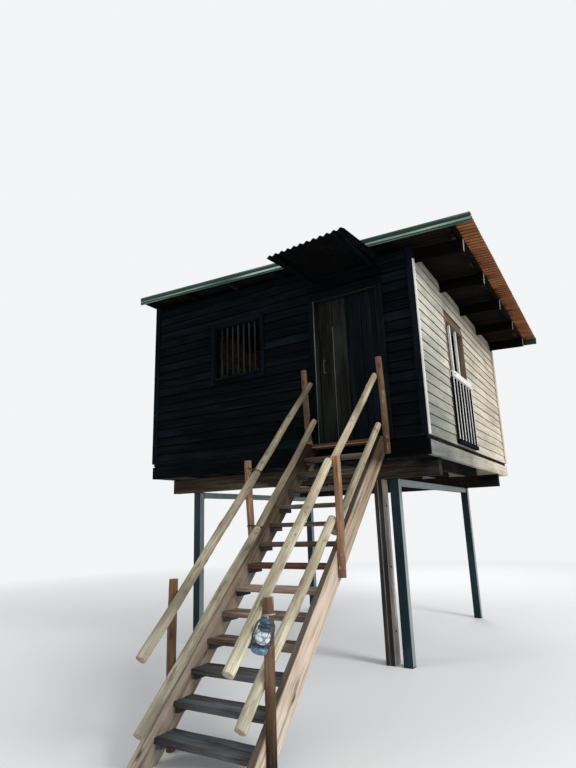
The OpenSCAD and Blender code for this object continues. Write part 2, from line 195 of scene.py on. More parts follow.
def wood(name, dark, mid, light, rough=0.85, specular=0.2, patch=None, patch_level=0.55, knots=0.5, bump=0.35,
         spread=0.5, contrast=0.165, tone_and_light_ramps=(), blotch=None, blotch_level=0.6):
    """Timber whose grain follows the 'grain' attribute of each piece, with knots, patches and its own tint;
    on some faces the tint carries painted light or shade. tone_and_light_ramps holds (direction, from, to,
    first colour, last colour) for what changes along the house: the wood's own tone, and painted light and
    shade."""
    m = Material(name, rough=rough, specular=specular)
    grain = m.attribute("grain", "Vector")
    place = m.place()
    fibre = m.noise(m.scaled(grain, (2.2, 70, 70)), 1.0, 5.0, 0.65, 0.3)
    rings = m.noise(m.scaled(grain, (0.8, 14, 14)), 1.0, 3.0, 0.5, 0.8)
    cracks = m.noise(m.scaled(grain, (3.0, 160, 160)), 1.0, 2.0, 0.5)
    blend = m.maths("ADD", m.maths("MULTIPLY", fibre, 0.55), m.maths("MULTIPLY", rings, 0.45))
    colour = m.ramp(blend, (0.5 - contrast, dark), (0.5, mid), (0.5 + contrast, light))
    if patch:
        cloud = m.noise(m.scaled(grain, (1.2, 5, 5)), 1.0, 4.0, 0.6)
        colour = m.mix(m.ramp(cloud, (patch_level - 0.07, 0.0), (patch_level + 0.09, 1.0)), colour, patch)
    if blotch:
        cloud = m.noise(m.scaled(grain, (7.0, 24.0, 24.0)), 1.0, 4.0, 0.6, 0.4)
        colour = m.mix(m.ramp(cloud, (blotch_level - 0.03, 0.0), (blotch_level + 0.05, 0.85)), colour, blotch)
    # Ramps of colour along a direction: the wood's own tone, painted light or painted shade
    for direction, low, high, first, last in tone_and_light_ramps:
        along = m.node("ShaderNodeVectorMath", operation="DOT_PRODUCT")
        m.link(place, along.inputs[0])
        along.inputs[1].default_value = direction
        share = m.maths("DIVIDE", m.maths("SUBTRACT", along.outputs["Value"], low), high - low)
        colour = m.shade(colour, m.ramp(share, (0.0, first), (1.0, last)))
    tint = m.attribute("tint", "Fac")
    level = m.maths("MAXIMUM", m.maths("ADD", m.maths("MULTIPLY", tint, spread), 1.0 - spread / 2), 0.06)
    soil = m.ramp(m.noise(place, 1.3, 3.0, 0.6), (0.3, 0.78), (0.7, 1.12))
    colour = m.shade(colour, soil)
    grey = m.node("ShaderNodeCombineColor")
    for i in range(3):
        m.link(level, grey.inputs[i])
    colour = m.shade(colour, grey.outputs[0])
    if knots:
        core = m.ramp(m.cells(m.scaled(grain, (2.6, 9.0, 9.0))), (0.05, 1.0), (0.15, 0.0))
        colour = m.mix(m.maths("MULTIPLY", core, knots), colour, times(dark, 0.35))
    split = m.ramp(cracks, (0.27, 1.0), (0.34, 0.0))
    colour = m.mix(m.maths("MULTIPLY", split, 0.55), colour, times(dark, 0.3))
    height = m.maths("SUBTRACT", fibre, m.maths("MULTIPLY", split, 0.8))
    m.finish(colour, height, bump, 0.003)


def painted(name, base, edge, rough=0.45, metallic=0.0, specular=0.4, rust=None, rust_level=0.62, scale=6.0,
            streak=(1, 1, 1), painted_lit_side=None):
    """Painted or bare sheet metal with worn places, dust and rust, and pale as painted light where the tint
    is over 1.5.
    """
    m = Material(name, rough=rough, metallic=metallic, specular=specular)
    place = m.place()
    cloud = m.noise(m.scaled(place, streak), scale, 5.0, 0.65)
    fine = m.noise(place, scale * 14, 3.0, 0.6)
    colour = m.ramp(cloud, (0.3, times(base, 0.75)), (0.5, base), (0.72, edge))
    if rust:
        spots = m.noise(m.scaled(place, streak), scale * 2.3, 6.0, 0.7)
        colour = m.mix(m.ramp(spots, (rust_level, 0.0), (rust_level + 0.07, 1.0)), colour, rust)
    colour = m.mix(0.18, colour, m.ramp(fine, (0.35, times(base, 0.6)), (0.65, edge)))
    # Where the tint is over 1.5 the paint turns pale: painted light on a sunny side
    if painted_lit_side:
        sun = m.ramp(m.maths("SUBTRACT", m.attribute("tint", "Fac"), 1.5), (0.0, 0.0), (1.0, 1.0))
        lit_side_colour = m.ramp(cloud, (0.3, times(painted_lit_side, 0.75)), (0.7, times(painted_lit_side, 1.25)))
        colour = m.mix(sun, colour, lit_side_colour)
    roughness = m.ramp(cloud, (0.3, rough - 0.1), (0.7, min(1.0, rough + 0.2)))
    m.finish(colour, fine, 0.12, 0.001, roughness)


def rusty(name):
    """Rusty sheet: orange on top and along the free edge, near-black brown underneath as painted shade.
    Its grain is (along, across, layer) and its tint the height of the wave, which gives painted shade in the
    valleys."""
    m = Material(name, rough=0.9, specular=0.1)
    place = m.place()
    cloud = m.noise(m.scaled(place, (0.6, 1.6, 1.0)), 2.4, 6.0, 0.68, 0.4)
    fine = m.noise(place, 60.0, 4.0, 0.7)
    colour = m.ramp(cloud, (0.28, (0.075, 0.026, 0.012)), (0.45, (0.22, 0.075, 0.028)),
                    (0.58, (0.36, 0.145, 0.055)), (0.74, (0.42, 0.25, 0.15)))
    colour = m.mix(0.35, colour, m.ramp(fine, (0.35, (0.09, 0.03, 0.015)), (0.65, (0.40, 0.19, 0.09))))
    parts = m.node("ShaderNodeSeparateXYZ")
    m.link(m.attribute("grain", "Vector"), parts.inputs[0])
    run = m.maths("ADD", parts.outputs["X"], m.maths("MULTIPLY", cloud, 0.5))
    # Away from the free edge the underside is near-black: painted shade
    underside_shade_reach = m.ramp(m.maths("DIVIDE", run, 6.0), (0.815, 1.0), (0.833, 0.0))
    inner = m.maths("MULTIPLY", underside_shade_reach, m.maths("LESS_THAN", parts.outputs["Z"], 0.005))
    underside_shade = m.ramp(cloud, (0.35, (0.004, 0.0032, 0.003)), (0.65, (0.012, 0.008, 0.0055)))
    colour = m.mix(inner, colour, underside_shade)
    # Darker valleys and lighter crests of the waves: painted shade and light
    wave = m.ramp(m.attribute("tint", "Fac"), (0.0, 0.24), (0.45, 0.80), (1.0, 1.18))
    colour = m.shade(colour, wave)
    m.finish(colour, fine, 0.25, 0.001)


def trim(name, pale_from=None):
    """Dark green flashing with thin pale streaks, partly worn paint and partly painted highlight,
    and pale for a metre to the right of pale_from.
    """
    m = Material(name, rough=0.6, specular=0.08)
    place = m.place()
    streaks = m.noise(m.scaled(place, (0.7, 8, 26)), 1.0, 5.0, 0.6)
    fine = m.noise(place, 70.0, 3.0, 0.6)
    # Pale streaks and the pale stretch: partly worn paint, partly painted highlight
    if pale_from is not None:
        share = m.maths("DIVIDE", m.maths("SUBTRACT", m.axis(place, "X"), pale_from), 5.0)
        wear_and_sheen = m.ramp(share, (0.0, 0.0), (0.09, 0.34), (0.20, 0.34), (0.30, 0.10))
        streaks = m.maths("ADD", streaks, wear_and_sheen)
    pale = m.maths("MULTIPLY", m.ramp(streaks, (0.46, 0.10), (0.78, 1.0)), m.attribute("tint", "Fac"))
    green = m.ramp(fine, (0.3, (0.007, 0.022, 0.018)), (0.7, (0.022, 0.056, 0.046)))
    m.finish(m.mix(pale, green, (0.40, 0.48, 0.38)), fine, 0.12, 0.001)


# steel_paint turns pale where the tint is over 1.5: painted light on the sunny side of posts and beams
painted("steel_paint", (0.0045, 0.0150, 0.0195), (0.018, 0.044, 0.055), 0.34, specular=0.14, scale=5,
        streak=(1, 1, 0.25), rust=(0.06, 0.035, 0.02), rust_level=0.72, painted_lit_side=(0.235, 0.285, 0.285))
# brown_timber darkens to the right of x = 0: painted shade
wood("brown_timber", (0.006, 0.004, 0.003), (0.022, 0.016, 0.011), (0.060, 0.045, 0.033), specular=0.04,
     patch=(0.060, 0.056, 0.050), patch_level=0.60, tone_and_light_ramps=((X, 0.0, 0.4, AS_IS, (0.30, 0.32, 0.34)),))
wood("post_timber", (0.012, 0.010, 0.009), (0.036, 0.034, 0.032), (0.085, 0.080, 0.074), specular=0.1,
     patch=(0.075, 0.058, 0.045), patch_level=0.58)
# dark_boards are near-black stained boards, made darker still as painted shade on the front of the house
wood("dark_boards", (0.0008, 0.0012, 0.0018), (0.0022, 0.0034, 0.0046), (0.0060, 0.0085, 0.0115), rough=0.95,
     specular=0.03, patch=(0.0042, 0.0070, 0.0100), patch_level=0.58, knots=0.3, bump=0.3, spread=0.7)
# pale_boards brighten towards the rear as painted light, darken towards the bottom, and darken just under the
# eave as painted shade
wood("pale_boards", (0.21, 0.208, 0.182), (0.40, 0.395, 0.350), (0.54, 0.53, 0.47), specular=0.12,
     patch=(0.31, 0.295, 0.26), patch_level=0.60, spread=0.2, contrast=0.22,
     blotch=(0.22, 0.215, 0.20), blotch_level=0.66,
     tone_and_light_ramps=((Y, 0.2, 3.4, (1.30, 1.30, 1.23), (1.62, 1.44, 1.29)),
           (Z + 0.4 * Y, 2.4, 3.8, (0.30, 0.32, 0.35), AS_IS),
           (Z, 4.3, 4.7, AS_IS, (0.74, 0.74, 0.72))))
wood("floor_boards", (0.08, 0.055, 0.035), (0.18, 0.13, 0.085), (0.29, 0.215, 0.145), spread=0.35)
wood("frame_wood", (0.004, 0.004, 0.004), (0.013, 0.014, 0.014), (0.034, 0.035, 0.034), specular=0.06,
     patch=(0.050, 0.049, 0.046), patch_level=0.64)
wood("pale_paint", (0.42, 0.41, 0.38), (0.62, 0.61, 0.58), (0.74, 0.73, 0.70), knots=0.25, spread=0.15)
wood("door_boards", (0.0018, 0.0018, 0.0014), (0.0075, 0.0080, 0.0062), (0.026, 0.027, 0.021), specular=0.05,
     patch=(0.018, 0.021, 0.017), patch_level=0.56, knots=0.6, bump=0.5, spread=0.7)
painted("black_iron", (0.012, 0.012, 0.013), (0.035, 0.033, 0.032), 0.5, 0.3, rust=(0.09, 0.035, 0.015),
        rust_level=0.64, scale=18)
rusty("rusty_sheet")
trim("trim_paint")
trim("trim_band", -1.95)
painted("dark_sheet", (0.0022, 0.0024, 0.0026), (0.0085, 0.0090, 0.0092), 0.85, specular=0.05,
        rust=(0.020, 0.012, 0.008), rust_level=0.66, scale=3)
# stair_wood darkens towards the top of the stair and sharply just under the floor, and the left stringer
# darkens above about a metre: painted shade
wood("stair_wood", (0.075, 0.055, 0.040), (0.300, 0.245, 0.196), (0.50, 0.43, 0.365), specular=0.12,
     patch=(0.42, 0.37, 0.315), patch_level=0.57, knots=0.8, bump=0.6, blotch=(0.13, 0.085, 0.060),
     blotch_level=0.67,
     tone_and_light_ramps=((Z, 0.1, 2.1, (1.08, 1.05, 1.02), (0.56, 0.50, 0.42)),
           (Z, 2.07, 2.21, AS_IS, (0.16, 0.14, 0.12)),
           (Z - 4 * X, 4.0, 4.55, AS_IS, (0.48, 0.45, 0.43))))
# tread_wood's blue-grey patches are a painted reflection of the sky
wood("tread_wood", (0.014, 0.012, 0.012), (0.052, 0.047, 0.044), (0.13, 0.12, 0.115),
     patch=(0.105, 0.125, 0.140), spread=0.7)
wood("peeled_pole", (0.105, 0.085, 0.055), (0.325, 0.297, 0.220), (0.60, 0.56, 0.44), specular=0.15,
     patch=(0.18, 0.158, 0.118), patch_level=0.57, knots=0.6, bump=0.6, spread=0.9, contrast=0.20,
     blotch=(0.125, 0.092, 0.062), blotch_level=0.63,
     tone_and_light_ramps=((Z, 0.3, 3.3, (1.0, 1.03, 1.03), (0.98, 0.88, 0.78)),))
wood("newel_pole", (0.040, 0.020, 0.010), (0.165, 0.094, 0.052), (0.32, 0.205, 0.130), specular=0.15,
     patch=(0.080, 0.046, 0.030), patch_level=0.56, bump=0.6, spread=0.7, contrast=0.19,
     blotch=(0.42, 0.34, 0.26), blotch_level=0.64)
wood("brown_tread", (0.016, 0.011, 0.008), (0.068, 0.050, 0.038), (0.17, 0.135, 0.105), specular=0.1,
     patch=(0.13, 0.11, 0.09), spread=0.7)
wood("casing_wood", (0.045, 0.042, 0.037), (0.125, 0.119, 0.106), (0.24, 0.23, 0.21))
wood("worn_edge", (0.035, 0.040, 0.042), (0.095, 0.108, 0.112), (0.19, 0.205, 0.205), specular=0.1)
wood("cut_end", (0.16, 0.12, 0.08), (0.31, 0.25, 0.18), (0.46, 0.40, 0.31), knots=0.0, spread=0.2)
wood("inner_boards", (0.07, 0.05, 0.033), (0.16, 0.115, 0.075), (0.27, 0.20, 0.135), spread=0.35)
wood("threshold_wood", (0.035, 0.014, 0.009), (0.105, 0.042, 0.027), (0.21, 0.10, 0.065), specular=0.12,
     knots=0.3)
painted("lantern_steel", (0.050, 0.125, 0.205), (0.30, 0.43, 0.50), 0.35, 0.15, rust=(0.13, 0.06, 0.03),
        rust_level=0.70, scale=40)
# lantern_clip is pale grey, partly as a painted highlight on the wire
painted("lantern_clip", (0.24, 0.27, 0.32), (0.48, 0.51, 0.56), 0.4, 0.1, scale=30)
painted("lantern_hood", (0.016, 0.036, 0.060), (0.085, 0.150, 0.210), 0.4, rust=(0.07, 0.035, 0.02),
        rust_level=0.68, scale=22)
glass = Material("lantern_glass", rough=0.22, specular=0.5)
dust = glass.noise(glass.place(), 30.0, 4.0, 0.6)
misty = glass.ramp(dust, (0.35, (0.42, 0.50, 0.53)), (0.65, (0.74, 0.80, 0.82)))
smears = glass.noise(glass.place(), 45.0, 3.0, 0.6)
glass.finish(misty, rough=glass.ramp(smears, (0.3, 0.12), (0.7, 0.4)))


# Mesh making


def chamfered(a, b, e):
    """Outline of a bar a by b with corners cut off by e."""
    e = min(e, a * 0.3, b * 0.3)
    return [(e, 0), (a - e, 0), (a, e), (a, b - e), (a - e, b), (e, b), (0, b - e), (0, e)]


def circle(centre, v, w, radius, sides):
    turns = [math.tau * i / sides for i in range(sides)]
    return [centre + (v * math.cos(t) + w * math.sin(t)) * radius for t in turns]


def far_shift(rnd):
    """Moves a piece's grain to a place of its own in the noise."""
    return Vector((rnd.uniform(-50, 50), rnd.uniform(-9, 9), rnd.uniform(-9, 9)))


class Piece:
    """Collects closed solids of one named piece, with grain and tint for its materials."""

    def __init__(self, name):
        self.name = name
        self.bm = bmesh.new()
        self.grain = self.bm.verts.layers.float_vector.new("grain")
        self.tint = self.bm.verts.layers.float.new("tint")
        self.slots = []
        self.random = random.Random(name + "0")

    def slot(self, material):
        if material not in self.slots:
            self.slots.append(material)
        return self.slots.index(material)

    def row(self, points, grains, tints):
        """New points of the mesh with their grain and tint."""
        made = []
        for point, grain, tint in zip(points, grains, tints):
            vert = self.bm.verts.new(point)
            vert[self.grain] = grain
            vert[self.tint] = tint
            made.append(vert)
        return made

    def face(self, verts, index, smooth=False):
        face = self.bm.faces.new(verts)
        face.material_index = index
        face.smooth = smooth

    def rings(self, rings, grains, material, tint, ends=None, smooth=False, caps=True):
        """Joins rings of points, each a closed outline, into one solid.
        tint is a number, a list with one for each place on a ring, or such a list for each ring."""
        tints = tint if isinstance(tint, list) else [tint] * len(rings[0])
        tints = tints if isinstance(tints[0], list) else [tints] * len(rings)
        made = [self.row(*each) for each in zip(rings, grains, tints)]
        index, end = self.slot(material), self.slot(ends or material)
        n = len(made[0])
        for a, b in zip(made, made[1:]):
            for i in range(n):
                self.face((a[i], a[(i + 1) % n], b[(i + 1) % n], b[i]), index, smooth)
        if caps:
            self.face(made[0][::-1], end)
            self.face(made[-1], end)
        return made

    def prism(self, origin, u, v, w, length, section, material, steps=1, wobble=0.0, tint=None, clip=None,
              ends=None, jitter=0.0, course=None, shades=None):
        """A bar along u with a cross-section of (v, w) points, each with a shade that is added to the tint.
        Bars of one course, at the same height, run on from piece to piece."""
        rnd = random.Random(course[0]) if course else self.random
        start = course[1] if course else 0.0
        tint = rnd.random() if tint is None else tint
        if shades:
            tint = [tint + shade for shade in shades]
        shift = far_shift(rnd)
        phase = rnd.uniform(0, 100)
        rings, grains = [], []
        for k in range(steps + 1):
            s = length * k / steps
            run = start + s
            dv = wobble * noise.noise(Vector((run * 1.1, phase, 0)))
            dw = wobble * noise.noise(Vector((run * 1.1, phase, 7.7)))
            ring, grain = [], []
            for j, (a, b) in enumerate(section):
                e = jitter * noise.noise(Vector((run * 9, phase + j * 3.1, 3.3))) if jitter else 0.0
                point = origin + u * s + v * (a + dv + e) + w * (b + dw + e)
                ring.append(clip(point) if clip else point)
                grain.append(Vector((run, a, b)) + shift)
            rings.append(ring)
            grains.append(grain)
        self.rings(rings, grains, material, tint, ends)

    def board(self, low, high, along, material, steps=None, edge=0.003, roof=False, **more):
        """A board that fills the box low..high, its grain along the axis 'along'.
        With roof, the box is given in the roof's own frame."""
        low, high = Vector(low), Vector(high)
        a, b, c = {"x": (0, 1, 2), "y": (1, 2, 0), "z": (2, 0, 1)}[along]
        size = high - low
        axes = (X, Y, Z)
        steps = steps or max(1, round(size[a] / (0.4 if roof else 0.35)))
        if roof:
            axes = [ROOF_TURN @ axis for axis in axes]
            low = ROOF @ low
        section = chamfered(size[b], size[c], edge)
        self.prism(low, axes[a], axes[b], axes[c], size[a], section, material, steps, **more)

    def pole(self, start, end, radius, material, bend, tint, knots=7, flat=None, taper=0.0, burls=()):
        """A natural pole: slightly bent, with dark knots, pale burls and saw-cut ends.
        tint holds its shade at the start and at the end; flat cuts a point back to a plane."""
        rnd = self.random
        sides = 16
        u = (end - start).normalized()
        v = u.orthogonal().normalized()
        w = u.cross(v)
        length = (end - start).length
        steps = max(6, round(length / 0.030))
        phase = rnd.uniform(0, 100)
        bumps = [(rnd.uniform(0.08, 0.95) * length, rnd.uniform(0, math.tau), rnd.uniform(0.35, 1.0))
                 for _ in range(round(knots * length / 2))]
        shift = far_shift(rnd)
        rings, grains, tints = [], [], []
        for k in range(steps + 1):
            s = length * k / steps
            sway = math.sin(math.pi * s / length)
            sway_v = v * bend * sway * noise.noise(Vector((s * 0.9, phase, 0))) * 2
            sway_w = w * bend * sway * noise.noise(Vector((s * 0.9, phase, 9))) * 2
            centre = start + u * s + sway_v + sway_w
            ring, grain, row = [], [], []
            for i in range(sides):
                t = math.tau * i / sides
                shade = tint[0] + (tint[1] - tint[0]) * s / length
                r = radius * (1.0 - taper * s / length)
                around = Vector((s * 3.1, math.cos(t) * 0.8, math.sin(t) * 0.8 + phase))
                r *= 0.965 + 0.035 * noise.noise(around)
                for place, angle, size in bumps:
                    d = math.hypot((s - place) / 0.032, math.sin((t - angle) / 2) * 2 * radius / 0.022)
                    if d < 2.5:
                        r += 0.0050 * size * math.exp(-d * d)
                        shade -= 0.75 * size * math.exp(-d * d * 1.6)
                for place, towards, reach, size in burls:
                    angle = math.atan2(Vector(towards).dot(w), Vector(towards).dot(v))
                    d = math.hypot((s - place) / reach, math.sin((t - angle) / 2) * 2 * radius / reach)
                    if d < 2.5:
                        rough = 0.8 + 0.5 * noise.noise(Vector((s * 60, t * 4, phase)))
                        r += size * math.exp(-d * d) * rough
                        shade += 1.9 * math.exp(-d * d) * rough
                if k in (0, steps):
                    r *= 0.955
                point = centre + (v * math.cos(t) + w * math.sin(t)) * r
                ring.append(flat(point) if flat else point)
                grain.append(Vector((s, math.cos(t) * radius, math.sin(t) * radius)) + shift)
                row.append(shade)
            rings.append(ring)
            grains.append(grain)
            tints.append(row)
        # The short chamfer at both ends
        for outer, inner in ((0, 1), (-1, -2)):
            d = (rings[inner][0] - rings[outer][0]).length
            keep = max(0.0, 1.0 - 0.007 / d) * 0.9
            rings[inner] = [p.lerp(q, keep) for p, q in zip(rings[inner], rings[outer])]
        self.rings(rings, grains, material, tints, "cut_end", smooth=True)

    def turned(self, profile, centre, material, sides=20, axis=Z, side=X, smooth=True):
        """A revolved solid: profile is (radius, height) from one end of the axis to the other."""
        centre = Vector(centre)
        rings = [circle(centre + axis * h, side, axis.cross(side), r, sides) for r, h in profile]
        self.rings(rings, rings, material, 0.5, smooth=smooth)

    def tube(self, points, radius, material, sides=8, closed=False):
        """A round bar bent through the points."""
        n = len(points)
        normal = None
        rings = []
        for k in range(n):
            if closed:
                tangent = (points[(k + 1) % n] - points[k - 1]).normalized()
            else:
                tangent = (points[min(k + 1, n - 1)] - points[max(k - 1, 0)]).normalized()
            if normal is None:
                normal = tangent.orthogonal().normalized()
            else:
                normal = (normal - tangent * normal.dot(tangent)).normalized()
            rings.append(circle(points[k], normal, tangent.cross(normal), radius, sides))
        made = self.rings(rings, rings, material, 0.5, smooth=True, caps=not closed)
        if closed:
            a, b = made[-1], made[0]
            best = min(range(sides), key=lambda j: (b[j].co - a[0].co).length)
            for i in range(sides):
                next_b, this_b = b[(best + i + 1) % sides], b[(best + i) % sides]
                self.face((a[i], a[(i + 1) % sides], next_b, this_b), self.slot(material), True)

    def bolt(self, centre, axis, size):
        """A hexagon head on a washer."""
        side = axis.orthogonal().normalized()
        washer = [(size * 1.25, 0.0), (size * 1.25, 0.002)]
        head = [(size * 0.8, 0.002), (size * 0.8, 0.008), (size * 0.65, 0.0095)]
        self.turned(washer, centre, "black_iron", 14, axis, side, smooth=False)
        self.turned(head, centre, "black_iron", 6, axis, side, smooth=False)

    def done(self, body="house", replaces=(), slot=None):
        bmesh.ops.recalc_face_normals(self.bm, faces=self.bm.faces)
        mesh = bpy.data.meshes.new(self.name)
        self.bm.to_mesh(mesh)
        self.bm.free()
        for material in self.slots:
            mesh.materials.append(MATERIALS[material])
        obj = bpy.data.objects.new(self.name, mesh)
        bpy.context.scene.collection.objects.link(obj)
        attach(obj, body)
        if replaces:
            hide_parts(*replaces)
        slot or self.slots[0]


def spans(low, high, holes):
    """What is left of low..high beside the holes."""
    left = []
    for a, b in sorted(holes):
        if a > low:
            left.append((low, min(a, high)))
        low = max(low, b)
    if low < high:
        left.append((low, high))
    return [(a, b) for a, b in left if b - a > 0.02]


# Walls

BOARD_PITCH, LINING_PITCH = 0.124, 0.145
LAP = 0.016
BOARD_BACK = -0.0195
LINING_T = 0.012


def under_roof(point):
    point = point.copy()
    point.z = min(point.z, roof_z(point.x) - 0.002)
    return point


def lapped(height, top, lap_shadow=()):
    """Outline of a lapped board as (height, depth) points; top is the depth of its upper edge;
    lap_shadow holds extra points for a band of painted shade under the lap above.
    """
    return [(0.0, -0.013), (0.0, -0.002), (0.003, 0.0), (0.0055, -0.0003), *lap_shadow, (height, top),
            (height, BOARD_BACK), (LAP + 0.003, BOARD_BACK), (LAP, -0.013)]


def wall(name, along, face, out, low, high, base, top, holes, material, clip=None):
    """A wall of lapped boards outside, a frame and plain boards inside.
    along is x or y, out points outwards, and a hole is (from, to, sill, head)."""
    piece = Piece(name)
    u = X if along == "x" else Y

    def at(s, depth, z):
        return Vector((s, face, z) if along == "x" else (face, s, z)) - out * depth

    def rows(pitch):
        """The courses from the floor up, cut off at the base and the top of this wall."""
        z = FLOOR_Z
        while z < top:
            if z + pitch > base + 0.004:
                yield max(z, base), min(z + pitch, top)
            z += pitch

    def cut(z0, z1):
        """The parts of a course that stand beside the holes and under the roof."""
        beside = [(a, b) for a, b, c, d in holes if c < z1 - 0.012 and d > z0 + 0.012]
        reach = RIGHT - (z0 + 0.02 - WALL_TOP) / math.tan(ROOF_FALL) if clip else high
        return spans(low, min(high, reach), beside)

    def outside(a, b, z0, section, shades):
        """One lapped board from a to b."""
        course = (f"{along} {face:.2f} {z0:.2f}", a)
        piece.prism(at(a, 0, z0), u, Z, out, b - a, section, material, max(2, round((b - a) / 0.3)), 0.0022,
                    clip=clip, jitter=0.0006, course=course, shades=shades)

    for z0, z1 in rows(BOARD_PITCH):
        for a, b in cut(z0, z1):
            height = (z1 + LAP if clip else min(z1 + LAP, top)) - z0
            slope = -0.0132 / (height - 0.0055)
            # Painted shade: a dark band under the lap above, and near-black lap undersides
            lap_shadow = [(s, -0.0003 + slope * (s - 0.0055)) for s in (height - LAP - 0.009, height - LAP + 0.001)]
            outside(a, b, z0, lapped(height, -0.0135, lap_shadow), (-3.3, -3.3, -1.6, 0, 0, -1.5, -1.5, 0, 0, -3.3))
    for a, b, sill, _ in holes:
        z0 = FLOOR_Z + math.floor((sill - FLOOR_Z) / BOARD_PITCH) * BOARD_PITCH
        # The lap's underside is near-black: painted shade
        outside(a, b, z0, lapped(sill - z0, -0.0068), (-3.3, -3.3, -1.6, 0, 0, 0, 0, -3.3))
    for z0, z1 in rows(LINING_PITCH):
        for a, b in cut(z0, z1):
            section = chamfered(z1 - z0 - 0.003, LINING_T, 0.002)
            steps = max(1, round((b - a) / 0.5))
            piece.prism(at(a, WALL_T, z0), u, Z, out, b - a, section, "inner_boards", steps, clip=clip)
    core = WALL_T - 0.033
    edges = sorted({base, top, *[c for *_, c, _ in holes if c > base], *[d for *_, d in holes if d < top]})
    for z0, z1 in zip(edges, edges[1:]):
        for a, b in cut(z0, z1):
            section = [(0, 0), (z1 - z0, 0), (z1 - z0, core), (0, core)]
            steps = max(1, round((b - a) / 0.4))
            origin = at(a, WALL_T - 0.0125, z0)
            piece.prism(origin, u, Z, out, b - a, section, "inner_boards", steps, clip=clip)
    return piece


LEFT_TOP = roof_z(LEFT)
window_hole = (*WINDOW_X, *WINDOW_Z)
front_parts = (
    ("front_boards_left", "front_wall_left", LEFT, DOORWAY[0], FLOOR_Z, LEFT_TOP, [window_hole],
     (LEFT - 0.004, LEFT + 0.085, LEFT_TOP)),
    ("front_boards_right", "front_wall_right", DOORWAY[1], RIGHT, FLOOR_Z, roof_z(DOORWAY[1]), [],
     (RIGHT - 0.075, RIGHT + 0.001, WALL_TOP)),
    ("front_boards_over_door", "front_wall_over_door", DOORWAY[0], DOORWAY[1], DOORWAY[2], roof_z(DOORWAY[0]),
     [], None),
)
for name, node, low, high, base, top, holes, corner in front_parts:
    p = wall(name, "x", FRONT, -Y, low, high, base, top, holes, "dark_boards", under_roof)
    if corner:
        p.board((corner[0], FRONT - 0.012, FLOOR_Z), (corner[1], FRONT + 0.006, corner[2] + 0.01), "z",
                "dark_boards", wobble=0.002, clip=under_roof)
    p.done(replaces=[node])
p = wall("rear_boards", "x", REAR, Y, LEFT, RIGHT, FLOOR_Z, LEFT_TOP, [window_hole], "pale_boards",
         under_roof)
p.done(replaces=["rear_wall"])

# The side walls end between the corner boards
SIDE_Y = (FRONT + 0.022, REAR - 0.022)
CORNER_W = 0.078
side_top = LEFT_TOP - 0.004
p = wall("left_boards", "y", LEFT, -X, *SIDE_Y, FLOOR_Z, side_top, [(*WINDOW_Y, *WINDOW_Z)], "pale_boards")
for y in (FRONT - 0.002, REAR - CORNER_W):
    p.board((LEFT - 0.014, y, FLOOR_Z), (LEFT + 0.004, y + 0.080, side_top), "z", "pale_boards", wobble=0.002)
p.done(replaces=["left_wall"])
side_top = WALL_TOP - 0.004
eave_z = WALL_TOP - RAFTER_H - 0.006
p = wall("right_boards", "y", RIGHT, X, *SIDE_Y, FLOOR_Z, side_top, [(*GAP_Y, *GAP_Z)], "pale_boards")
for y, width, material in ((FRONT - 0.004, 0.052, "pale_paint"), (REAR - CORNER_W, CORNER_W, "pale_boards")):
    p.board((RIGHT - 0.004, y, FLOOR_Z), (RIGHT + 0.016, y + width, eave_z), "z", material, wobble=0.002,
            tint=0.6)
    # Above eave_z the corner boards are near-black dark_boards: painted shade under the eave
    p.board((RIGHT - 0.004, y, eave_z), (RIGHT + 0.012, y + width, side_top), "z", "dark_boards")
p.done(replaces=["right_wall"])


# Windows, tall opening, balustrade, doorway

LINER_T = 0.030


def lined_opening(name, along, face, out, low, high, material, bars=0, casing=0.055):
    """Lining boards inside the hole, a casing on the face and upright bars."""
    piece = Piece(name)
    (s0, z0), (s1, z1) = low, high
    depth = WALL_T + 0.004
    t = LINER_T

    def place(a, b, d0, d1, za, zb, direction, mat=material, **more):
        """A board from a to b along the wall and from d0 to d1 behind its face."""
        near, far = sorted((face - (out.x + out.y) * d0, face - (out.x + out.y) * d1))
        ends = ((a, near, za), (b, far, zb)) if along == "x" else ((near, a, za), (far, b, zb))
        piece.board(*ends, direction, mat, **more)

    place(s0, s0 + t, -0.004, WALL_T, z0, z1, "z")
    place(s1 - t, s1, -0.004, WALL_T, z0, z1, "z")
    place(s0 + t, s1 - t, -0.004, WALL_T, z1 - t, z1, along)
    place(s0 + t, s1 - t, -0.022, WALL_T, z0, z0 + t, along)
    if casing:
        for edge, towards in ((s0 + 0.012, -casing), (s1 - 0.012, casing)):
            a, b = sorted((edge, edge + towards))
            place(a, b, -0.013, 0.004, z0 - casing, z1 + casing - 0.012, "z")
        place(s0 + 0.013, s1 - 0.013, -0.012, 0.004, z1 - 0.012, z1 + casing - 0.012, along)
        place(s0 + 0.013, s1 - 0.013, -0.012, 0.004, z0 - casing, z0 + 0.004, along)
    stop = 0.062 if bars else 0.030
    place(s0 + t, s1 - t, depth - 0.032, depth - 0.006, z1 - t - stop, z1 - t, along)
    for i in range(bars):
        s = s0 + t + (s1 - s0 - 2 * t) * (i + 1) / (bars + 1)
        place(s - 0.012, s + 0.012, 0.022, 0.044, z0 + t - 0.006, z1 - t + 0.006, "z", "frame_wood",
              edge=0.004)
    return piece


BARS = 7
for side, along, face, out, hole, material in (("front", "x", FRONT, -Y, WINDOW_X, "dark_boards"),
                                               ("rear", "x", REAR, Y, WINDOW_X, "casing_wood"),
                                               ("left", "y", LEFT, -X, WINDOW_Y, "casing_wood")):
    corners = list(zip(hole, WINDOW_Z))
    p = lined_opening(side + "_window", along, face, out, *corners, material, BARS)
    p.done(replaces=["window_frame_" + side], slot="frame_wood")

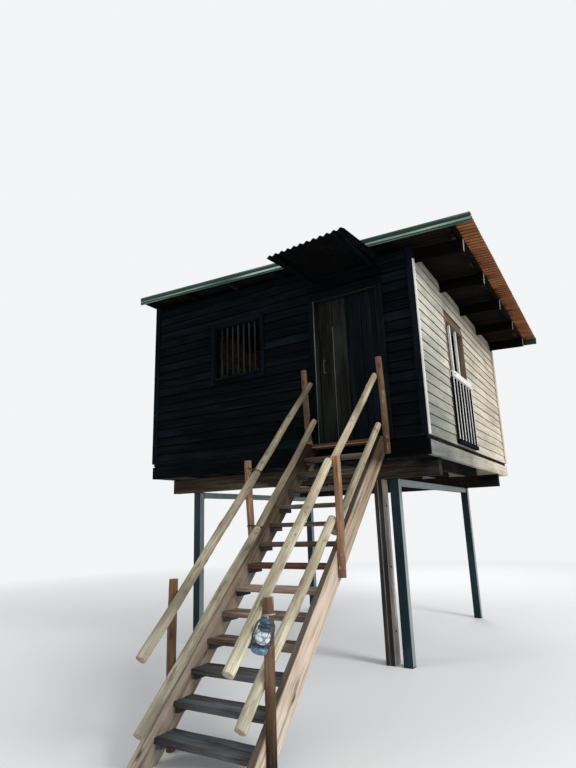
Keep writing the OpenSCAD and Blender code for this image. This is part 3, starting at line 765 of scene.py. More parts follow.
p = lined_opening("side_opening_frame", "y", RIGHT, X, *zip(GAP_Y, GAP_Z), "inner_boards", casing=0.0)
for y in (1.02, 1.34):
    p.board((0.560, y, GAP_Z[0] + 0.028), (0.596, y + 0.040, GAP_Z[1] - 0.028), "z", "pale_paint", edge=0.005,
            tint=0.7)
p.done(replaces=["side_gap_frame"], slot="frame_wood")

RAIL_Y = (0.690, 1.690)
RAIL_X = RIGHT + 0.0005
RAIL_Z = (2.550, 3.370)
BALUSTERS, BALUSTER_W = 7, 0.042
BALUSTER_PITCH = (RAIL_Y[1] - RAIL_Y[0] - BALUSTER_W) / (BALUSTERS - 1)
p = Piece("balustrade_rails")
p.board((RAIL_X, RAIL_Y[0], RAIL_Z[1]), (0.675, RAIL_Y[1], 3.455), "y", "pale_paint", edge=0.006,
        wobble=0.002, tint=0.8)
p.board((RAIL_X, RAIL_Y[0], 2.495), (0.665, RAIL_Y[1], RAIL_Z[0]), "y", "dark_boards", edge=0.005,
        wobble=0.002)
for i in range(BALUSTERS):
    y = RAIL_Y[0] + i * BALUSTER_PITCH + p.random.uniform(-0.002, 0.002)
    # The near-black cores stand in for the balusters' shaded sides: painted shade; the pale strips are their
    # fronts
    p.board((0.624, y, 2.505), (0.6475, y + BALUSTER_W, 3.440), "z", "dark_boards", edge=0.002, wobble=0.003)
    p.board((0.6475, y + 0.010, 2.552), (0.656, y + 0.031, 3.440), "z", "pale_paint", wobble=0.003)
for y in (RAIL_Y[0] + 0.045, RAIL_Y[1] - 0.045):
    p.bolt((0.675, y, 3.412), X, 0.008)
p.done(replaces=["balustrade"], slot="pale_paint")

p = Piece("door_casing")
x0, x1, top = DOORWAY
inside = FRONT + WALL_T
jamb = 0.035
for a in (x0, x1 - jamb):
    p.board((a, FRONT - 0.006, FLOOR_Z), (a + jamb, inside, top), "z", "door_boards", wobble=0.001, tint=0.1)
p.board((x0 + jamb, FRONT - 0.006, top - jamb), (x1 - jamb, inside, top), "x", "door_boards", tint=0.1)
# x from, to; depth from, to; height from, to; direction and material
casing = ((x0 - 0.050, x0 + 0.012, -0.022, -0.004, FLOOR_Z, top + 0.045, "z", "dark_boards"),
          (x0 + 0.010, x0 + 0.018, -0.017, -0.002, FLOOR_Z, top - 0.02, "z", "worn_edge"),
          (x1 - 0.012, x1 + 0.060, -0.022, -0.004, FLOOR_Z, top + 0.045, "z", "dark_boards"),
          (x0 - 0.050, x1 + 0.060, -0.024, -0.003, top - 0.012, top + 0.060, "x", "dark_boards"))
for a, b, near, far, low, high, direction, material in casing:
    tint = 0.5 if material == "worn_edge" else None
    p.board((a, FRONT + near, low), (b, FRONT + far, high), direction, material, wobble=0.001, tint=tint)
p.done(replaces=["door_frame"], slot="frame_wood")


# Door, on its own body

PIN = Vector((0.1175, -0.416, 0))
HINGE_Z = (FLOOR_Z + 0.260, FLOOR_Z + 1.520)
DOOR_FACE, DOOR_BACK = -0.465, -0.4445
PLANK_GAP = 0.006

p = Piece("door_planks")
x0, x1, z0, z1 = DOOR
cuts = [x0 + (x1 - x0) * share for share in (0.0, 0.256, 0.483, 0.738, 1.0)]
looks = (("door_boards", 0.15), ("door_boards", 0.35), ("dark_boards", 1.0), ("dark_boards", 1.3))
for i, (a, b, (material, tint)) in enumerate(zip(cuts, cuts[1:], looks)):
    a, b = a + (PLANK_GAP / 2 if i else 0), b - (PLANK_GAP / 2 if i < 3 else 0)
    low = (a, DOOR_FACE + (0.0015 if i % 2 else 0.0), z0 + p.random.uniform(0, 0.006))
    p.board(low, (b, DOOR_BACK, z1), "z", material, steps=8, wobble=0.0012, edge=0.0035, tint=tint,
            jitter=0.0006)
# The worn edge of the first plank
edge_x = cuts[1] - PLANK_GAP / 2
low, high = (edge_x - 0.0045, DOOR_FACE - 0.0005, z0 + 0.006), (edge_x + 0.0005, -0.455, z1 - 0.35)
p.board(low, high, "z", "worn_edge", edge=0.001, tint=0.5)
p.board((x0 + 0.004, DOOR_BACK - 0.001, z0 + 0.004), (x1 - 0.004, DOOR_BACK + 0.002, z1 - 0.004), "z",
        "dark_boards")
# The ledges and the brace on its back
for z in (z0 + 0.16, z1 - 0.30, (z0 + z1) / 2 - 0.05):
    p.board((x0 + 0.02, -0.4435, z), (x1 - 0.02, -0.4305, z + 0.11), "x", "inner_boards", edge=0.004)
a, b = Vector((x0 + 0.05, -0.4432, z0 + 0.28)), Vector((x1 - 0.09, -0.4432, (z0 + z1) / 2 - 0.06))
u = (b - a).normalized()
p.prism(a, u, u.cross(-Y), Y, (b - a).length, chamfered(0.09, 0.0125, 0.003), "inner_boards", 3)
p.done("door", replaces=["door"], slot="door_boards")

STRAP_L, STRAP_W, STRAP_Y = 0.4455, 0.064, -0.424
p = Piece("door_iron")
for z in HINGE_Z:
    knuckle = [(0.0108, z - 0.008), (0.012, z - 0.0065), (0.012, z + 0.0705), (0.0108, z + 0.072)]
    p.turned(knuckle, PIN, "black_iron")
    start = PIN.x - STRAP_L
    p.board((start, -0.4305, z), (PIN.x - 0.002, STRAP_Y, z + STRAP_W), "x", "black_iron", edge=0.002)
    p.board((PIN.x - 0.012, -0.4295, z), (PIN.x - 0.003, PIN.y, z + STRAP_W), "y", "black_iron", edge=0.001)
    for k in range(4):
        rivet = [(0.009, 0.0), (0.0085, 0.002), (0.006, 0.004), (0.002, 0.005)]
        p.turned(rivet, (start + 0.03 + k * 0.115, STRAP_Y, z + STRAP_W / 2), "black_iron", 12, Y, X)
HANDLE = Vector((x0 + 0.075, DOOR_FACE, FLOOR_Z + 0.98))
for dz in (-0.075, 0.075):
    foot = [(0.014, 0.0), (0.014, 0.003), (0.0065, 0.005), (0.006, 0.034)]
    knob = [(0.014, -0.0395), (0.014, -0.0365), (0.0065, -0.0345)]
    for profile in (foot, knob):
        p.turned(profile, HANDLE + Z * dz, "black_iron", 14, -Y, X)
grip = [Vector((0, -0.034 - 0.006 * math.sin(math.pi * k / 12), -0.095 + 0.19 * k / 12)) for k in range(13)]
p.tube([HANDLE + point for point in grip], 0.0068, "black_iron", 10)
p.done("door", slot="black_iron")

PIN_Y = -0.4245
p = Piece("hinge_pins")
for z in HINGE_Z:
    sleeve = [(0.0105, z - 0.040), (0.012, z - 0.0385), (0.012, z - 0.0115), (0.0105, z - 0.010)]
    p.turned(sleeve, PIN, "black_iron")
    pin = [(0.006, z - 0.012), (0.006, z + 0.076), (0.0045, z + 0.080)]
    p.turned(pin, PIN, "black_iron", 16)
    p.board((PIN.x, -0.430, z - 0.040), (PIN.x + 0.060, PIN_Y, z - 0.010), "x", "black_iron", edge=0.001)
    p.board((PIN.x + 0.001, -0.430, z - 0.040), (PIN.x + 0.009, PIN.y, z - 0.010), "y", "black_iron",
            edge=0.001)
    p.bolt((PIN.x + 0.045, PIN_Y, z - 0.025), Y, 0.005)
p.done(replaces=["door_hinges"], slot="black_iron")


# Floor, beams and posts

FLOORBOARD_W = 0.1345
p = Piece("floor_planks")
y, index = FRONT + 0.020, 0
while y < REAR - 0.021:
    width = min(FLOORBOARD_W, REAR - 0.020 - y)
    joints = [LEFT + 0.006, LEFT + (1.5, 2.5, 2.0)[index % 3], RIGHT - 0.020]
    look = "dark_boards" if index == 0 else "brown_timber" if y + width > REAR - 0.021 else "floor_boards"
    for a, b in zip(joints, joints[1:]):
        low, high = (a + 0.001, y, FLOOR_Z - 0.035), (b - 0.001, y + width - 0.0035, FLOOR_Z - 0.0005)
        p.board(low, high, "x", look, steps=3, ends="brown_timber")
    y += FLOORBOARD_W
    index += 1
p.done(replaces=["floor"], slot="floor_boards")

RIM, JOIST_W, BAYS = 0.060, 0.050, 8
p = Piece("floor_timbers")
top = FRAME_Z + 0.168
for low, high, direction, material, tint in (
        # The front rim is near-black dark_boards: painted shade
        ((LEFT, FRONT + 0.004), (RIGHT - 0.004, FRONT + RIM), "x", "dark_boards", 0.1),
        ((LEFT, REAR - RIM), (RIGHT, REAR - 0.002), "x", "pale_boards", 0.4),
        ((LEFT + 0.002, FRONT + RIM), (LEFT + RIM, REAR - RIM), "y", "pale_boards", 0.5),
        ((RIGHT - RIM, FRONT + RIM), (RIGHT - 0.002, REAR - RIM), "y", "pale_boards", 0.8)):
    p.board((*low, FRAME_Z), (*high, top), direction, material, wobble=0.003, edge=0.005, tint=tint)
p.board((LEFT + 0.02, FRONT + 0.022, top - 0.001), (RIGHT - 0.02, REAR - 0.022, top + 0.0115), "x",
        "dark_boards", steps=1)
for i in range(1, BAYS):
    a = LEFT + i * (RIGHT - LEFT - RIM) / BAYS
    p.board((a, FRONT + RIM, FRAME_Z), (a + JOIST_W, REAR - RIM, top), "y", "frame_wood", wobble=0.002)
p.done(replaces=["floor_frame"], slot="brown_timber")

for node, y, tint in (("front_beam", -0.050, 2.4), ("rear_beam", POST_Y + 0.010, 0.1)):
    p = Piece(node + "_timber")
    p.board((LEFT + 0.040, y - 0.060, BEAM_Z), (RIGHT - 0.040, y + 0.060, FRAME_Z), "x", "brown_timber",
            wobble=0.003, edge=0.009, tint=tint, jitter=0.002)
    for x in (0.0, POST_X):
        for side in (-0.03, 0.03):
            p.bolt((x + side, y - 0.060, 2.16), -Y, 0.011)
    p.done(replaces=[node])

p = Piece("split_post")
for a, b, tint in ((-0.265, -0.212, -0.15), (-0.208, -0.153, 0.0)):
    # Shades of 18 on the +X faces make the right face pale: painted light on the sunny side
    p.board((a, -0.040, 0.0), (b, 0.140, BEAM_Z), "z", "post_timber", edge=0.006, jitter=0.0015, tint=tint,
            shades=(0, 0, 18, 18, 0, 0, 0, 0))
for z in (0.35, 1.05, 1.75):
    p.bolt((-0.153, 0.05, z), X, 0.011)
p.done(replaces=["timber_post"], slot="brown_timber")

CORNER_R = 0.010
posts = {"front_left": (POST_X, 0), "front_right": (0, 0),
         "rear_left": (POST_X, POST_Y), "rear_right": (0, POST_Y)}
for name, (x, y) in posts.items():
    p = Piece(f"post_{name}_steel")
    outline, tints = [], []
    for qx, qy, start in ((1, 1, 0), (-1, 1, 90), (-1, -1, 180), (1, -1, 270)):
        for k in range(4):
            t = math.radians(start + 30 * k)
            reach = POST_HALF - CORNER_R
            outline.append((qx * reach + CORNER_R * math.cos(t), qy * reach + CORNER_R * math.sin(t)))
            # The side facing +X takes tint 2.5, which steel_paint turns pale: painted light
            tints.append(2.5 if math.cos(t) > 0.99 else 0.5)
    rings = [[Vector((x + a, y + b, z)) for a, b in outline] for z in (0.0, 0.5, 1.0, 1.5, 2.052)]
    p.rings(rings, rings, "steel_paint", tints)
    for low, high in ((2.048, BEAM_Z), (0.0, 0.010)):
        p.board((x - POST_HALF, y - POST_HALF, low), (x + POST_HALF, y + POST_HALF, high), "x", "steel_paint",
                edge=0.002)
    p.done(replaces=["post_" + name])

PLATE_T = 0.006
for node, x in (("side_beam_left", POST_X), ("side_beam_right", 0)):
    p = Piece(node + "_steel")
    ends = (POST_HALF, POST_Y - POST_HALF)
    # The +X face reaches tint 2.5 through its shades: painted light on the sunny side
    p.board((x - 0.040, ends[0], 1.980), (x + 0.040, ends[1], BEAM_Z), "y", "steel_paint", edge=0.006,
            tint=0.5, shades=(0, 0, 0, 0, 2, 2, 0, 0))
    for y in (ends[0], ends[1] - PLATE_T):
        p.board((x - 0.052, y, 1.962), (x + 0.052, y + PLATE_T, 2.058), "z", "steel_paint", edge=0.001)
    p.done(replaces=[node])


# Roof

ROOF_L = UP_L + DOWN_L
RAFTERS, PURLINS = 5, 7
RAFTER_Y = (-0.420, 3.870)
PURLIN_PITCH = (ROOF_L - 0.280) / (PURLINS - 1)
p = Piece("roof_timbers")
# Rafters and purlins take low tints that make them near black: painted shade under the roof
for i in range(RAFTERS):
    y = RAFTER_Y[0] + i * (RAFTER_Y[1] - RAFTER_Y[0]) / (RAFTERS - 1)
    p.board((-UP_L + 0.040, y, -RAFTER_H), (DOWN_L - 0.180, y + 0.060, -0.0002), "x", "brown_timber",
            roof=True, ends="cut_end", edge=0.005, wobble=0.002, tint=-1.15)
for i in range(PURLINS):
    x = -UP_L + 0.030 + i * PURLIN_PITCH
    p.board((x, -0.790, 0.0), (x + 0.050, 4.300, PURLIN_H), "y", "brown_timber", roof=True, wobble=0.002,
            tint=-0.9)
p.done(replaces=["roof_frame"], slot="brown_timber")


def wave_sheet(piece, origin, across, along, up, waves, pitch, height, length, material, thick=0.0016, rows=5,
               sag=0.0, lift=0.0, ragged=0.0):
    """A corrugated sheet with its waves side by side in the direction 'across'."""
    steps = 8
    shift = piece.random.uniform(0, 99)
    n = waves * steps
    waving = [(1 - math.cos(math.tau * i / steps)) * height / 2 for i in range(n + 1)]

    def layer(raised, mark):
        """The rows of points of one face, raised over the other."""
        made = []
        for j in range(rows + 1):
            t = j / rows
            points, grains = [], []
            for i, wave in enumerate(waving):
                s = i * pitch / steps
                run = t * length
                if j in (0, rows):
                    run += (-1 if j else 1) * abs(ragged * noise.noise(Vector((s * 2.3, shift, j))))
                z = wave + lift + sag * noise.noise(Vector((s * 1.7, t * 3, shift)))
                points.append(origin + across * s + along * run + up * (z + raised))
                grains.append(Vector((run, s, mark)))
            made.append(piece.row(points, grains, [wave / height for wave in waving]))
        return made

    index = piece.slot(material)
    a, b = layer(thick, 0.01), layer(0.0, 0)
    for j in range(rows):
        for i in range(n):
            piece.face((a[j][i], a[j][i + 1], a[j + 1][i + 1], a[j + 1][i]), index, smooth=True)
            piece.face((b[j][i], b[j + 1][i], b[j + 1][i + 1], b[j][i + 1]), index, smooth=True)
        piece.face((a[j][0], a[j + 1][0], b[j + 1][0], b[j][0]), index)
        piece.face((a[j][n], b[j][n], b[j + 1][n], a[j + 1][n]), index)
    for i in range(n):
        piece.face((a[0][i], b[0][i], b[0][i + 1], a[0][i + 1]), index)
        piece.face((a[rows][i], a[rows][i + 1], b[rows][i + 1], b[rows][i]), index)


ROOF_X, ROOF_UP = ROOF_TURN @ X, ROOF_TURN @ Z
WAVE, WAVE_H = 0.076, 0.018
VERGE = 0.270
WAVES = math.floor((REAR - FRONT + 2 * VERGE) / WAVE)
SHEET_WAVES = 11
p = Piece("roof_cover")
start = (FRONT + REAR - WAVES * WAVE) / 2
done, sheet = 0, 0
while done < WAVES:
    count = min(SHEET_WAVES, WAVES - done)
    if WAVES - done - count < 3:
        count = WAVES - done
    extra = 1 if done else 0
    origin = Vector((-UP_L + 0.004, start + (done - extra) * WAVE, PURLIN_H + (0.0015 if sheet % 2 else 0.0)))
    wave_sheet(p, ROOF @ origin, Y, ROOF_X, ROOF_UP, count + extra, WAVE, WAVE_H, ROOF_L - 0.006,
               "rusty_sheet", rows=8, sag=0.0006, ragged=0.006)
    done += count
    sheet += 1
screw = [(0.010, 0.0), (0.010, 0.0015), (0.006, 0.003), (0.006, 0.0055)]
for i in range(PURLINS):
    for k in range(0, WAVES, 4):
        x = -UP_L + 0.055 + i * PURLIN_PITCH
        place = Vector((x, start + (k + 0.5) * WAVE, PURLIN_H + WAVE_H + 0.0015))
        p.turned(screw, ROOF @ place, "rusty_sheet", 8, ROOF_UP, Y, smooth=False)
p.done(replaces=["roof_sheets"])

TRIM_TOP = PURLIN_H + WAVE_H + 0.003
TRIM_JOINT = -UP_L + 2.55
# depth from, to; height from, to; material; tint, which makes the lower lip, the middle band and the top edge
# pale, partly worn paint and partly painted highlight
strips = ((0.001, 0.0190, -0.022, 0.040, "trim_paint", 0.0),
          (0.012, 0.0205, -0.022, -0.014, "trim_paint", 0.9),
          (0.017, 0.0205, 0.004, 0.030, "trim_band", 1.0),
          (0.001, 0.0258, 0.036, TRIM_TOP, "trim_paint", 0.05),
          (0.0250, 0.0272, TRIM_TOP - 0.014, TRIM_TOP + 0.002, "trim_paint", 0.75),
          (-0.060, 0.0272, TRIM_TOP, TRIM_TOP + 0.003, "trim_paint", 0.35))
for side, edge_y, out in (("front", FRONT - VERGE, -1), ("rear", REAR + VERGE, 1)):
    p = Piece(side + "_trim_bands")
    for a, b in ((-UP_L + 0.001, TRIM_JOINT), (TRIM_JOINT + 0.002, DOWN_L - 0.001)):
        for d0, d1, z0, z1, material, tint in strips:
            near, far = sorted((edge_y + out * d0, edge_y + out * d1))
            p.board((a, near, z0), (b, far, z1), "x", material, roof=True, edge=0.0015, wobble=0.0008,
                    tint=tint)
    for k in range(9):
        place = Vector((-UP_L + 0.15 + k * (ROOF_L - 0.30) / 8, edge_y + out * 0.0195, 0.010))
        p.turned([(0.006, 0.0), (0.0055, 0.002), (0.003, 0.003)], ROOF @ place, "trim_paint", 10, out * Y, X)
    p.done(replaces=[side + "_trim"])

AWNING_Z = FLOOR_Z + 2.125
ARM = 0.045
p = Piece("awning")
skew = Matrix.Rotation(math.radians(-5.6), 3, "Z")
corner = Vector((DOORWAY[0] - 0.101, FRONT - 0.902, AWNING_Z))
wave_sheet(p, corner, skew @ X, skew @ Y, Z, 12, 0.088, 0.024, 0.880, "dark_sheet", thick=0.002, rows=10,
           sag=0.0015, lift=0.0006, ragged=0.010)
arm_z, arm_y = AWNING_Z - ARM, FRONT - 0.001
for x in (DOORWAY[0] - 0.005, DOORWAY[1] - 0.040):
    p.board((x, FRONT - 0.842, arm_z), (x + ARM, arm_y, AWNING_Z - 0.0005), "y", "dark_boards", wobble=0.001)
p.board((DOORWAY[0] - 0.060, FRONT - ARM, arm_z - 0.090), (DOORWAY[1] + 0.060, arm_y, arm_z - 0.0005), "x",
        "dark_boards")
p.done(replaces=["canopy"], slot="dark_sheet")


# Stair

x0, x1 = STAIR_X[0] + STRINGER_T, STAIR_X[1] - STRINGER_T
p = Piece("threshold_boards")
lip = NOSE_Y + 0.0145
p.board((x0, NOSE_Y + 0.014, FLOOR_Z - 0.045), (x1, FRONT, FLOOR_Z - 0.001), "x", "threshold_wood",
        wobble=0.001, edge=0.005)
p.board((x0, NOSE_Y, FLOOR_Z - 0.035), (x1, lip, FLOOR_Z - 0.010), "x", "threshold_wood", tint=0.5)
p.board((x0, NOSE_Y, FLOOR_Z - 0.044), (x1, lip, FLOOR_Z - 0.0352), "x", "cut_end", edge=0.002, tint=1.0)
p.board((x0, FRONT - 0.001, FLOOR_Z - 0.035), (x1, FRONT + 0.020, FLOOR_Z), "x", "threshold_wood")
p.done(replaces=["threshold"], slot="brown_timber")

SLOPE = math.atan2(STEP_H, GOING)
FOOT_Y = NOSE_Y - (FLOOR_Z + 0.065) * GOING / STEP_H
TREAD_T, TREAD_D = 0.040, 0.210
UP_STAIR = Vector((0, math.cos(SLOPE), math.sin(SLOPE)))
OFF_STAIR = Vector((0, -math.sin(SLOPE), math.cos(SLOPE)))


def tread_y(k):
    return NOSE_Y - (STEPS - k) * GOING


def stair_cut(point):
    """A level cut at the foot, and a plumb and a level one at the top."""
    point = point.copy()
    plumb = FRONT - 0.001
    if point.z < 0:
        point -= UP_STAIR * (point.z / UP_STAIR.z)
    if point.z > FLOOR_Z and point.y < plumb:
        point -= UP_STAIR * ((point.z - FLOOR_Z) / UP_STAIR.z)
    if point.y > plumb:
        point -= UP_STAIR * ((point.y - plumb) / UP_STAIR.y)
        point.z = min(point.z, FLOOR_Z)
    return point


CLEAT = 0.040
STRINGER_L, CUT_OFF = 4.25, 0.25
# side; its plank's low x; x from and to of the cleats; shades of the top and of the outer face:
# painted shade on the narrow top and painted light on the outer face
stringers = (("left", STAIR_X[0], x0, x0 + CLEAT, 0.0, 0.0), ("right", x1, x1 - CLEAT, x1, -1.5, 1.2))
for side, x, a, b, top, outer in stringers:
    p = Piece("stringer_plank_" + side)
    origin = Vector((x, FOOT_Y, 0.0)) - OFF_STAIR * STRINGER_W - UP_STAIR * CUT_OFF
    section = chamfered(STRINGER_W, STRINGER_T, 0.006)
    p.prism(origin, UP_STAIR, OFF_STAIR, X, STRINGER_L, section, "stair_wood", 60, tint=0.65, clip=stair_cut,
            jitter=0.0022, shades=(0, 0, top, top, outer, outer, 0, 0))
    for k in range(1, STEPS):
        z = k * STEP_H - TREAD_T
        p.board((a, tread_y(k) + 0.020, z - 0.040), (b, tread_y(k) + 0.180, z - 0.0002), "y", "tread_wood",
                steps=1, edge=0.004)
    p.done(replaces=["stringer_" + side], slot="stair_wood")

tread_tints = {1: 0.5, 2: 0.5, 3: 0.5, 4: 1.5, 5: 2.4, 6: 3.8, 7: 0.9}
p = Piece("tread_planks")
for k in range(1, STEPS):
    material = "tread_wood" if k < 4 else "threshold_wood" if k == 7 else "brown_tread"
    split = tread_y(k) + 0.1125
    for a, b in ((tread_y(k), split - 0.0015), (split + 0.0015, tread_y(k) + TREAD_D)):
        tint = tread_tints.get(k, 0.8) + p.random.uniform(-0.1, 0.1)
        p.board((x0, a, k * STEP_H - TREAD_T), (x1, b, k * STEP_H), "x", material, steps=8, edge=0.006,
                tint=tint, jitter=0.002)
p.done(replaces=["treads"], slot="tread_wood")

UPPER_R, LOWER_R, NEWEL_R = 0.036, 0.041, 0.037
TAPER = 0.06
TOP_Y, JOINT_Y, LOW_Y = NOSE_Y - 0.020, FRONT - 1.440, FOOT_Y + 0.020
# side, then the upper and the lower pole: (y, height over the nosings) of its ends, and its tint at both
# The right-hand rails take higher tints than the left: partly their own paler wood, partly painted light
# where the sun falls on them
rails = {
    "handrail_left_upper": (0, ((TOP_Y + 0.090, 0.684), (JOINT_Y + 0.150, 0.652), (-0.05, 0.45)),
                            ((JOINT_Y + 0.144, 0.655), (LOW_Y + 0.106, 0.645), (0.4, 0.6))),
    "handrail_left_lower": (0, ((TOP_Y + 0.150, 0.180), (JOINT_Y + 0.150, 0.116), (0.4, 0.5)),
                            ((JOINT_Y + 0.144, 0.1225), (LOW_Y + 0.106, 0.168), (0.75, 0.95))),
    "handrail_right_upper": (1, ((TOP_Y - 0.010, 0.724), (JOINT_Y + 0.036, 0.761), (0.75, 0.6)),
                             ((JOINT_Y, 0.822), (LOW_Y - 0.035, 0.800), (1.2, 0.95))),
    "handrail_right_lower": (1, ((TOP_Y - 0.010, 0.160), (JOINT_Y + 0.020, 0.188), (0.4, 0.45)),
                             ((JOINT_Y + 0.014, 0.312), (LOW_Y + 0.080, 0.356), (1.25, 1.3))),
}


def rail_points(side, radius, start, end):
    """Ends of a rail's axis, just inside the outer face of its stringer."""
    x = STAIR_X[0] + radius - 0.002 if side == 0 else STAIR_X[1] - radius + 0.002
    return [Vector((x, y, nose_z(y) + over)) for y, over in (start, end)]


for node, (side, *poles) in rails.items():
    p = Piece(node + "_poles")
    for radius, (start, end, tint) in zip((UPPER_R, LOWER_R), poles):
        a, b = rail_points(side, radius, start, end)
        p.pole(a, b, radius * (1 - TAPER / 2), "peeled_pole", 0.008, tint, taper=-TAPER)
    p.done(replaces=[node])

NEWEL_X = (STAIR_X[0] - NEWEL_R + 0.012, STAIR_X[1] + NEWEL_R - 0.012)
MID_LEFT, MID_RIGHT, LOW_LEFT, LOW_RIGHT = JOINT_Y + 0.140, JOINT_Y + 0.020, FOOT_Y + 0.515, FOOT_Y + 0.345
LEAN = math.radians(4)
# place along it, direction, reach and size of each burl
BURLS = ((0.27, (1, -0.3, 0), 0.036, 0.017), (0.225, (0.9, -0.6, 0), 0.040, 0.016),
         (0.315, (1, -0.5, 0), 0.034, 0.012))
OVER_LEFT, OVER_RIGHT = nose_z(MID_LEFT), nose_z(MID_RIGHT)
# side, y, foot, top, lean, tint at both ends, burls
newels = {
    "newel_top_left": (0, FRONT - 0.058, FRAME_Z - 0.080, FLOOR_Z + 0.930, LEAN, (0.3, -0.1), BURLS),
    "newel_top_right": (1, FRONT - 0.128, FRAME_Z + 0.030, FLOOR_Z + 0.900, LEAN, (-0.05, 0.2), ()),
    "newel_middle_left": (0, MID_LEFT, OVER_LEFT - 0.030, OVER_LEFT + 0.780, LEAN, (1.3, 1.5), ()),
    "newel_middle_right": (1, MID_RIGHT, OVER_RIGHT - 0.180, OVER_RIGHT + 0.840, 0.0, (1.3, 1.6), ()),
    "newel_bottom_left": (0, LOW_LEFT, 0.0, nose_z(LOW_LEFT) + 0.780, 0.0, (0.0, 0.4), ()),
    # Its tint runs from near black at the foot upwards: painted shade
    "newel_bottom_right": (1, LOW_RIGHT, 0.0, nose_z(LOW_RIGHT) + 0.865, 0.0, (-0.95, 0.95), ()),
}


def upright(tilt):
    return Vector((0, -math.sin(tilt), math.cos(tilt)))


for node, (side, y, z0, z1, tilt, tint, burls) in newels.items():
    low = Vector((NEWEL_X[side], y, z0))

    def flat(point, side=side):
        """Below the floor the newel is cut flat against its stringer."""
        point = point.copy()
        if point.z < FLOOR_Z:
            point.x = (max if side else min)(point.x, STAIR_X[side])
        point.z = max(point.z, 0.0)
        return point

    p = Piece(node + "_pole")
    p.pole(low, low + upright(tilt) * (z1 - z0), NEWEL_R, "newel_pole", 0.006, tint, 6, flat, burls=burls)
    p.done(replaces=[node])


# Lashings

CORD_R, CORD_TURNS = 0.0035, 2


def lashing(piece, axis, first, second):
    """Cord turns round two poles that lie side by side, each given by a point, a direction and a radius.
    axis is square to the turns."""
    axis = axis.normalized()
    between = second[0] - first[0]
    between -= axis * between.dot(axis)
    e = between.normalized()
    f = axis.cross(e)
    for k in range(CORD_TURNS):
        rise = axis * (k - (CORD_TURNS - 1) / 2) * CORD_R * 2.05
        points = []
        for start, centre, (_, along, radius) in ((90, first[0], first), (-90, first[0] + between, second)):
            for i in range(13):
                t = math.radians(start + 15 * i)
                out = e * math.cos(t) + f * math.sin(t)
                square = out - along * out.dot(along)
                points.append(centre + rise + out * (radius + CORD_R) / square.length)
        piece.tube(points, CORD_R, "black_iron", 6, closed=True)


p = Piece("lashings")
_, y, z0, _, tilt, *_ = newels["newel_middle_left"]
for rail in ("handrail_left_upper", "handrail_left_lower"):
    start, end, _ = rails[rail][1]
    a, b = rail_points(0, UPPER_R, start, end)
    at = a.lerp(b, (JOINT_Y + 0.158 - a.y) / (b.y - a.y))
    newel_at = Vector((NEWEL_X[0], y, z0)) + upright(tilt) * (at.z - z0) / upright(tilt).z
    lashing(p, Vector((0, 0.35, 1)), (at, (b - a).normalized(), UPPER_R), (newel_at, upright(tilt), NEWEL_R))
p.done(slot="black_iron")


# Lantern

LANTERN_R, LANTERN_H = 0.068, 0.230
TANK_R, TALL = LANTERN_R * 0.86, LANTERN_H * 0.93
RING_Z = nose_z(LOW_RIGHT) + 0.750
HUNG = Vector((NEWEL_X[1] + LANTERN_R - 0.010, LOW_RIGHT - LANTERN_R - 0.050, RING_Z + 0.007))
MIDDLE = HUNG + Vector((-0.026, 0, -0.105))
LANTERN = (Matrix.Translation(MIDDLE) @ Matrix.Rotation(math.radians(20), 4, "Y")
           @ Matrix.Translation((0, 0, -TALL / 2)))
lantern_turn = LANTERN.to_3x3()
# (share of the tank's radius, share of the height) of each spun part, from its foot up
TANK = ((0.80, 0), (0.87, 0.008), (0.91, 0.02), (0.93, 0.04), (0.93, 0.128), (0.90, 0.148), (0.81, 0.165),
        (0.70, 0.175), (0.50, 0.188), (0.42, 0.20))
BURNER = ((0.44, 0.18), (0.44, 0.225), (0.60, 0.232), (0.60, 0.255), (0.40, 0.265))
GLOBE = ((0.50, 0.255), (0.70, 0.30), (0.84, 0.365), (0.88, 0.44), (0.84, 0.53), (0.72, 0.61), (0.58, 0.672))
HOOD = ((0.62, 0.664), (0.78, 0.68), (0.80, 0.715), (0.76, 0.738), (0.56, 0.757), (0.52, 0.80), (0.56, 0.825))
CAP = ((0.54, 0.817), (0.76, 0.83), (0.76, 0.85), (0.54, 0.862), (0.54, 0.885), (0.68, 0.90), (0.68, 0.926),
       (0.42, 0.972), (0.08, 0.99))
SIDE_TUBE = ((0.74, 0.135), (0.96, 0.175), (1.06, 0.27), (1.08, 0.44), (1.06, 0.611), (1.02, 0.744),
             (0.94, 0.847), (0.80, 0.905), (0.52, 0.912))
WIRE_R = 0.0013


def in_lantern(degrees, r, h):
    """The point at shares r and h of the tank's radius and the height."""
    t = math.radians(degrees)
    return LANTERN @ Vector((math.cos(t) * TANK_R * r, math.sin(t) * TANK_R * r, TALL * h))


p = Piece("hurricane_lantern")
for profile, material, sides in ((TANK, "lantern_steel", 32), (BURNER, "lantern_hood", 28),
                                 (GLOBE, "lantern_glass", 32), (HOOD, "lantern_hood", 28),
                                 (CAP, "lantern_hood", 28)):
    outline = [(TANK_R * r, TALL * h) for r, h in profile]
    p.turned(outline, LANTERN.translation, material, sides, lantern_turn @ Z, lantern_turn @ X)
for turn in (35, 215):
    p.tube([in_lantern(turn, r, h) for r, h in SIDE_TUBE], 0.0056, "lantern_hood", 10)
for k in range(4):
    for way in (1, -1):
        guard = [in_lantern(45 + 90 * k + way * 80 * (j / 8 - 0.5), 0.66 + 0.27 * math.sin(math.pi * j / 8),
                            0.26 + 0.40 * j / 8) for j in range(9)]
        p.tube(guard, WIRE_R, "lantern_hood", 6)
for h in (0.365, 0.53):
    p.tube([in_lantern(15 * i, 0.885, h) for i in range(24)], WIRE_R, "lantern_hood", 6, closed=True)
collar = Vector((NEWEL_X[1], LOW_RIGHT, RING_Z + 0.008))
angles = [math.radians(-25 + 15 * k) for k in range(15)]
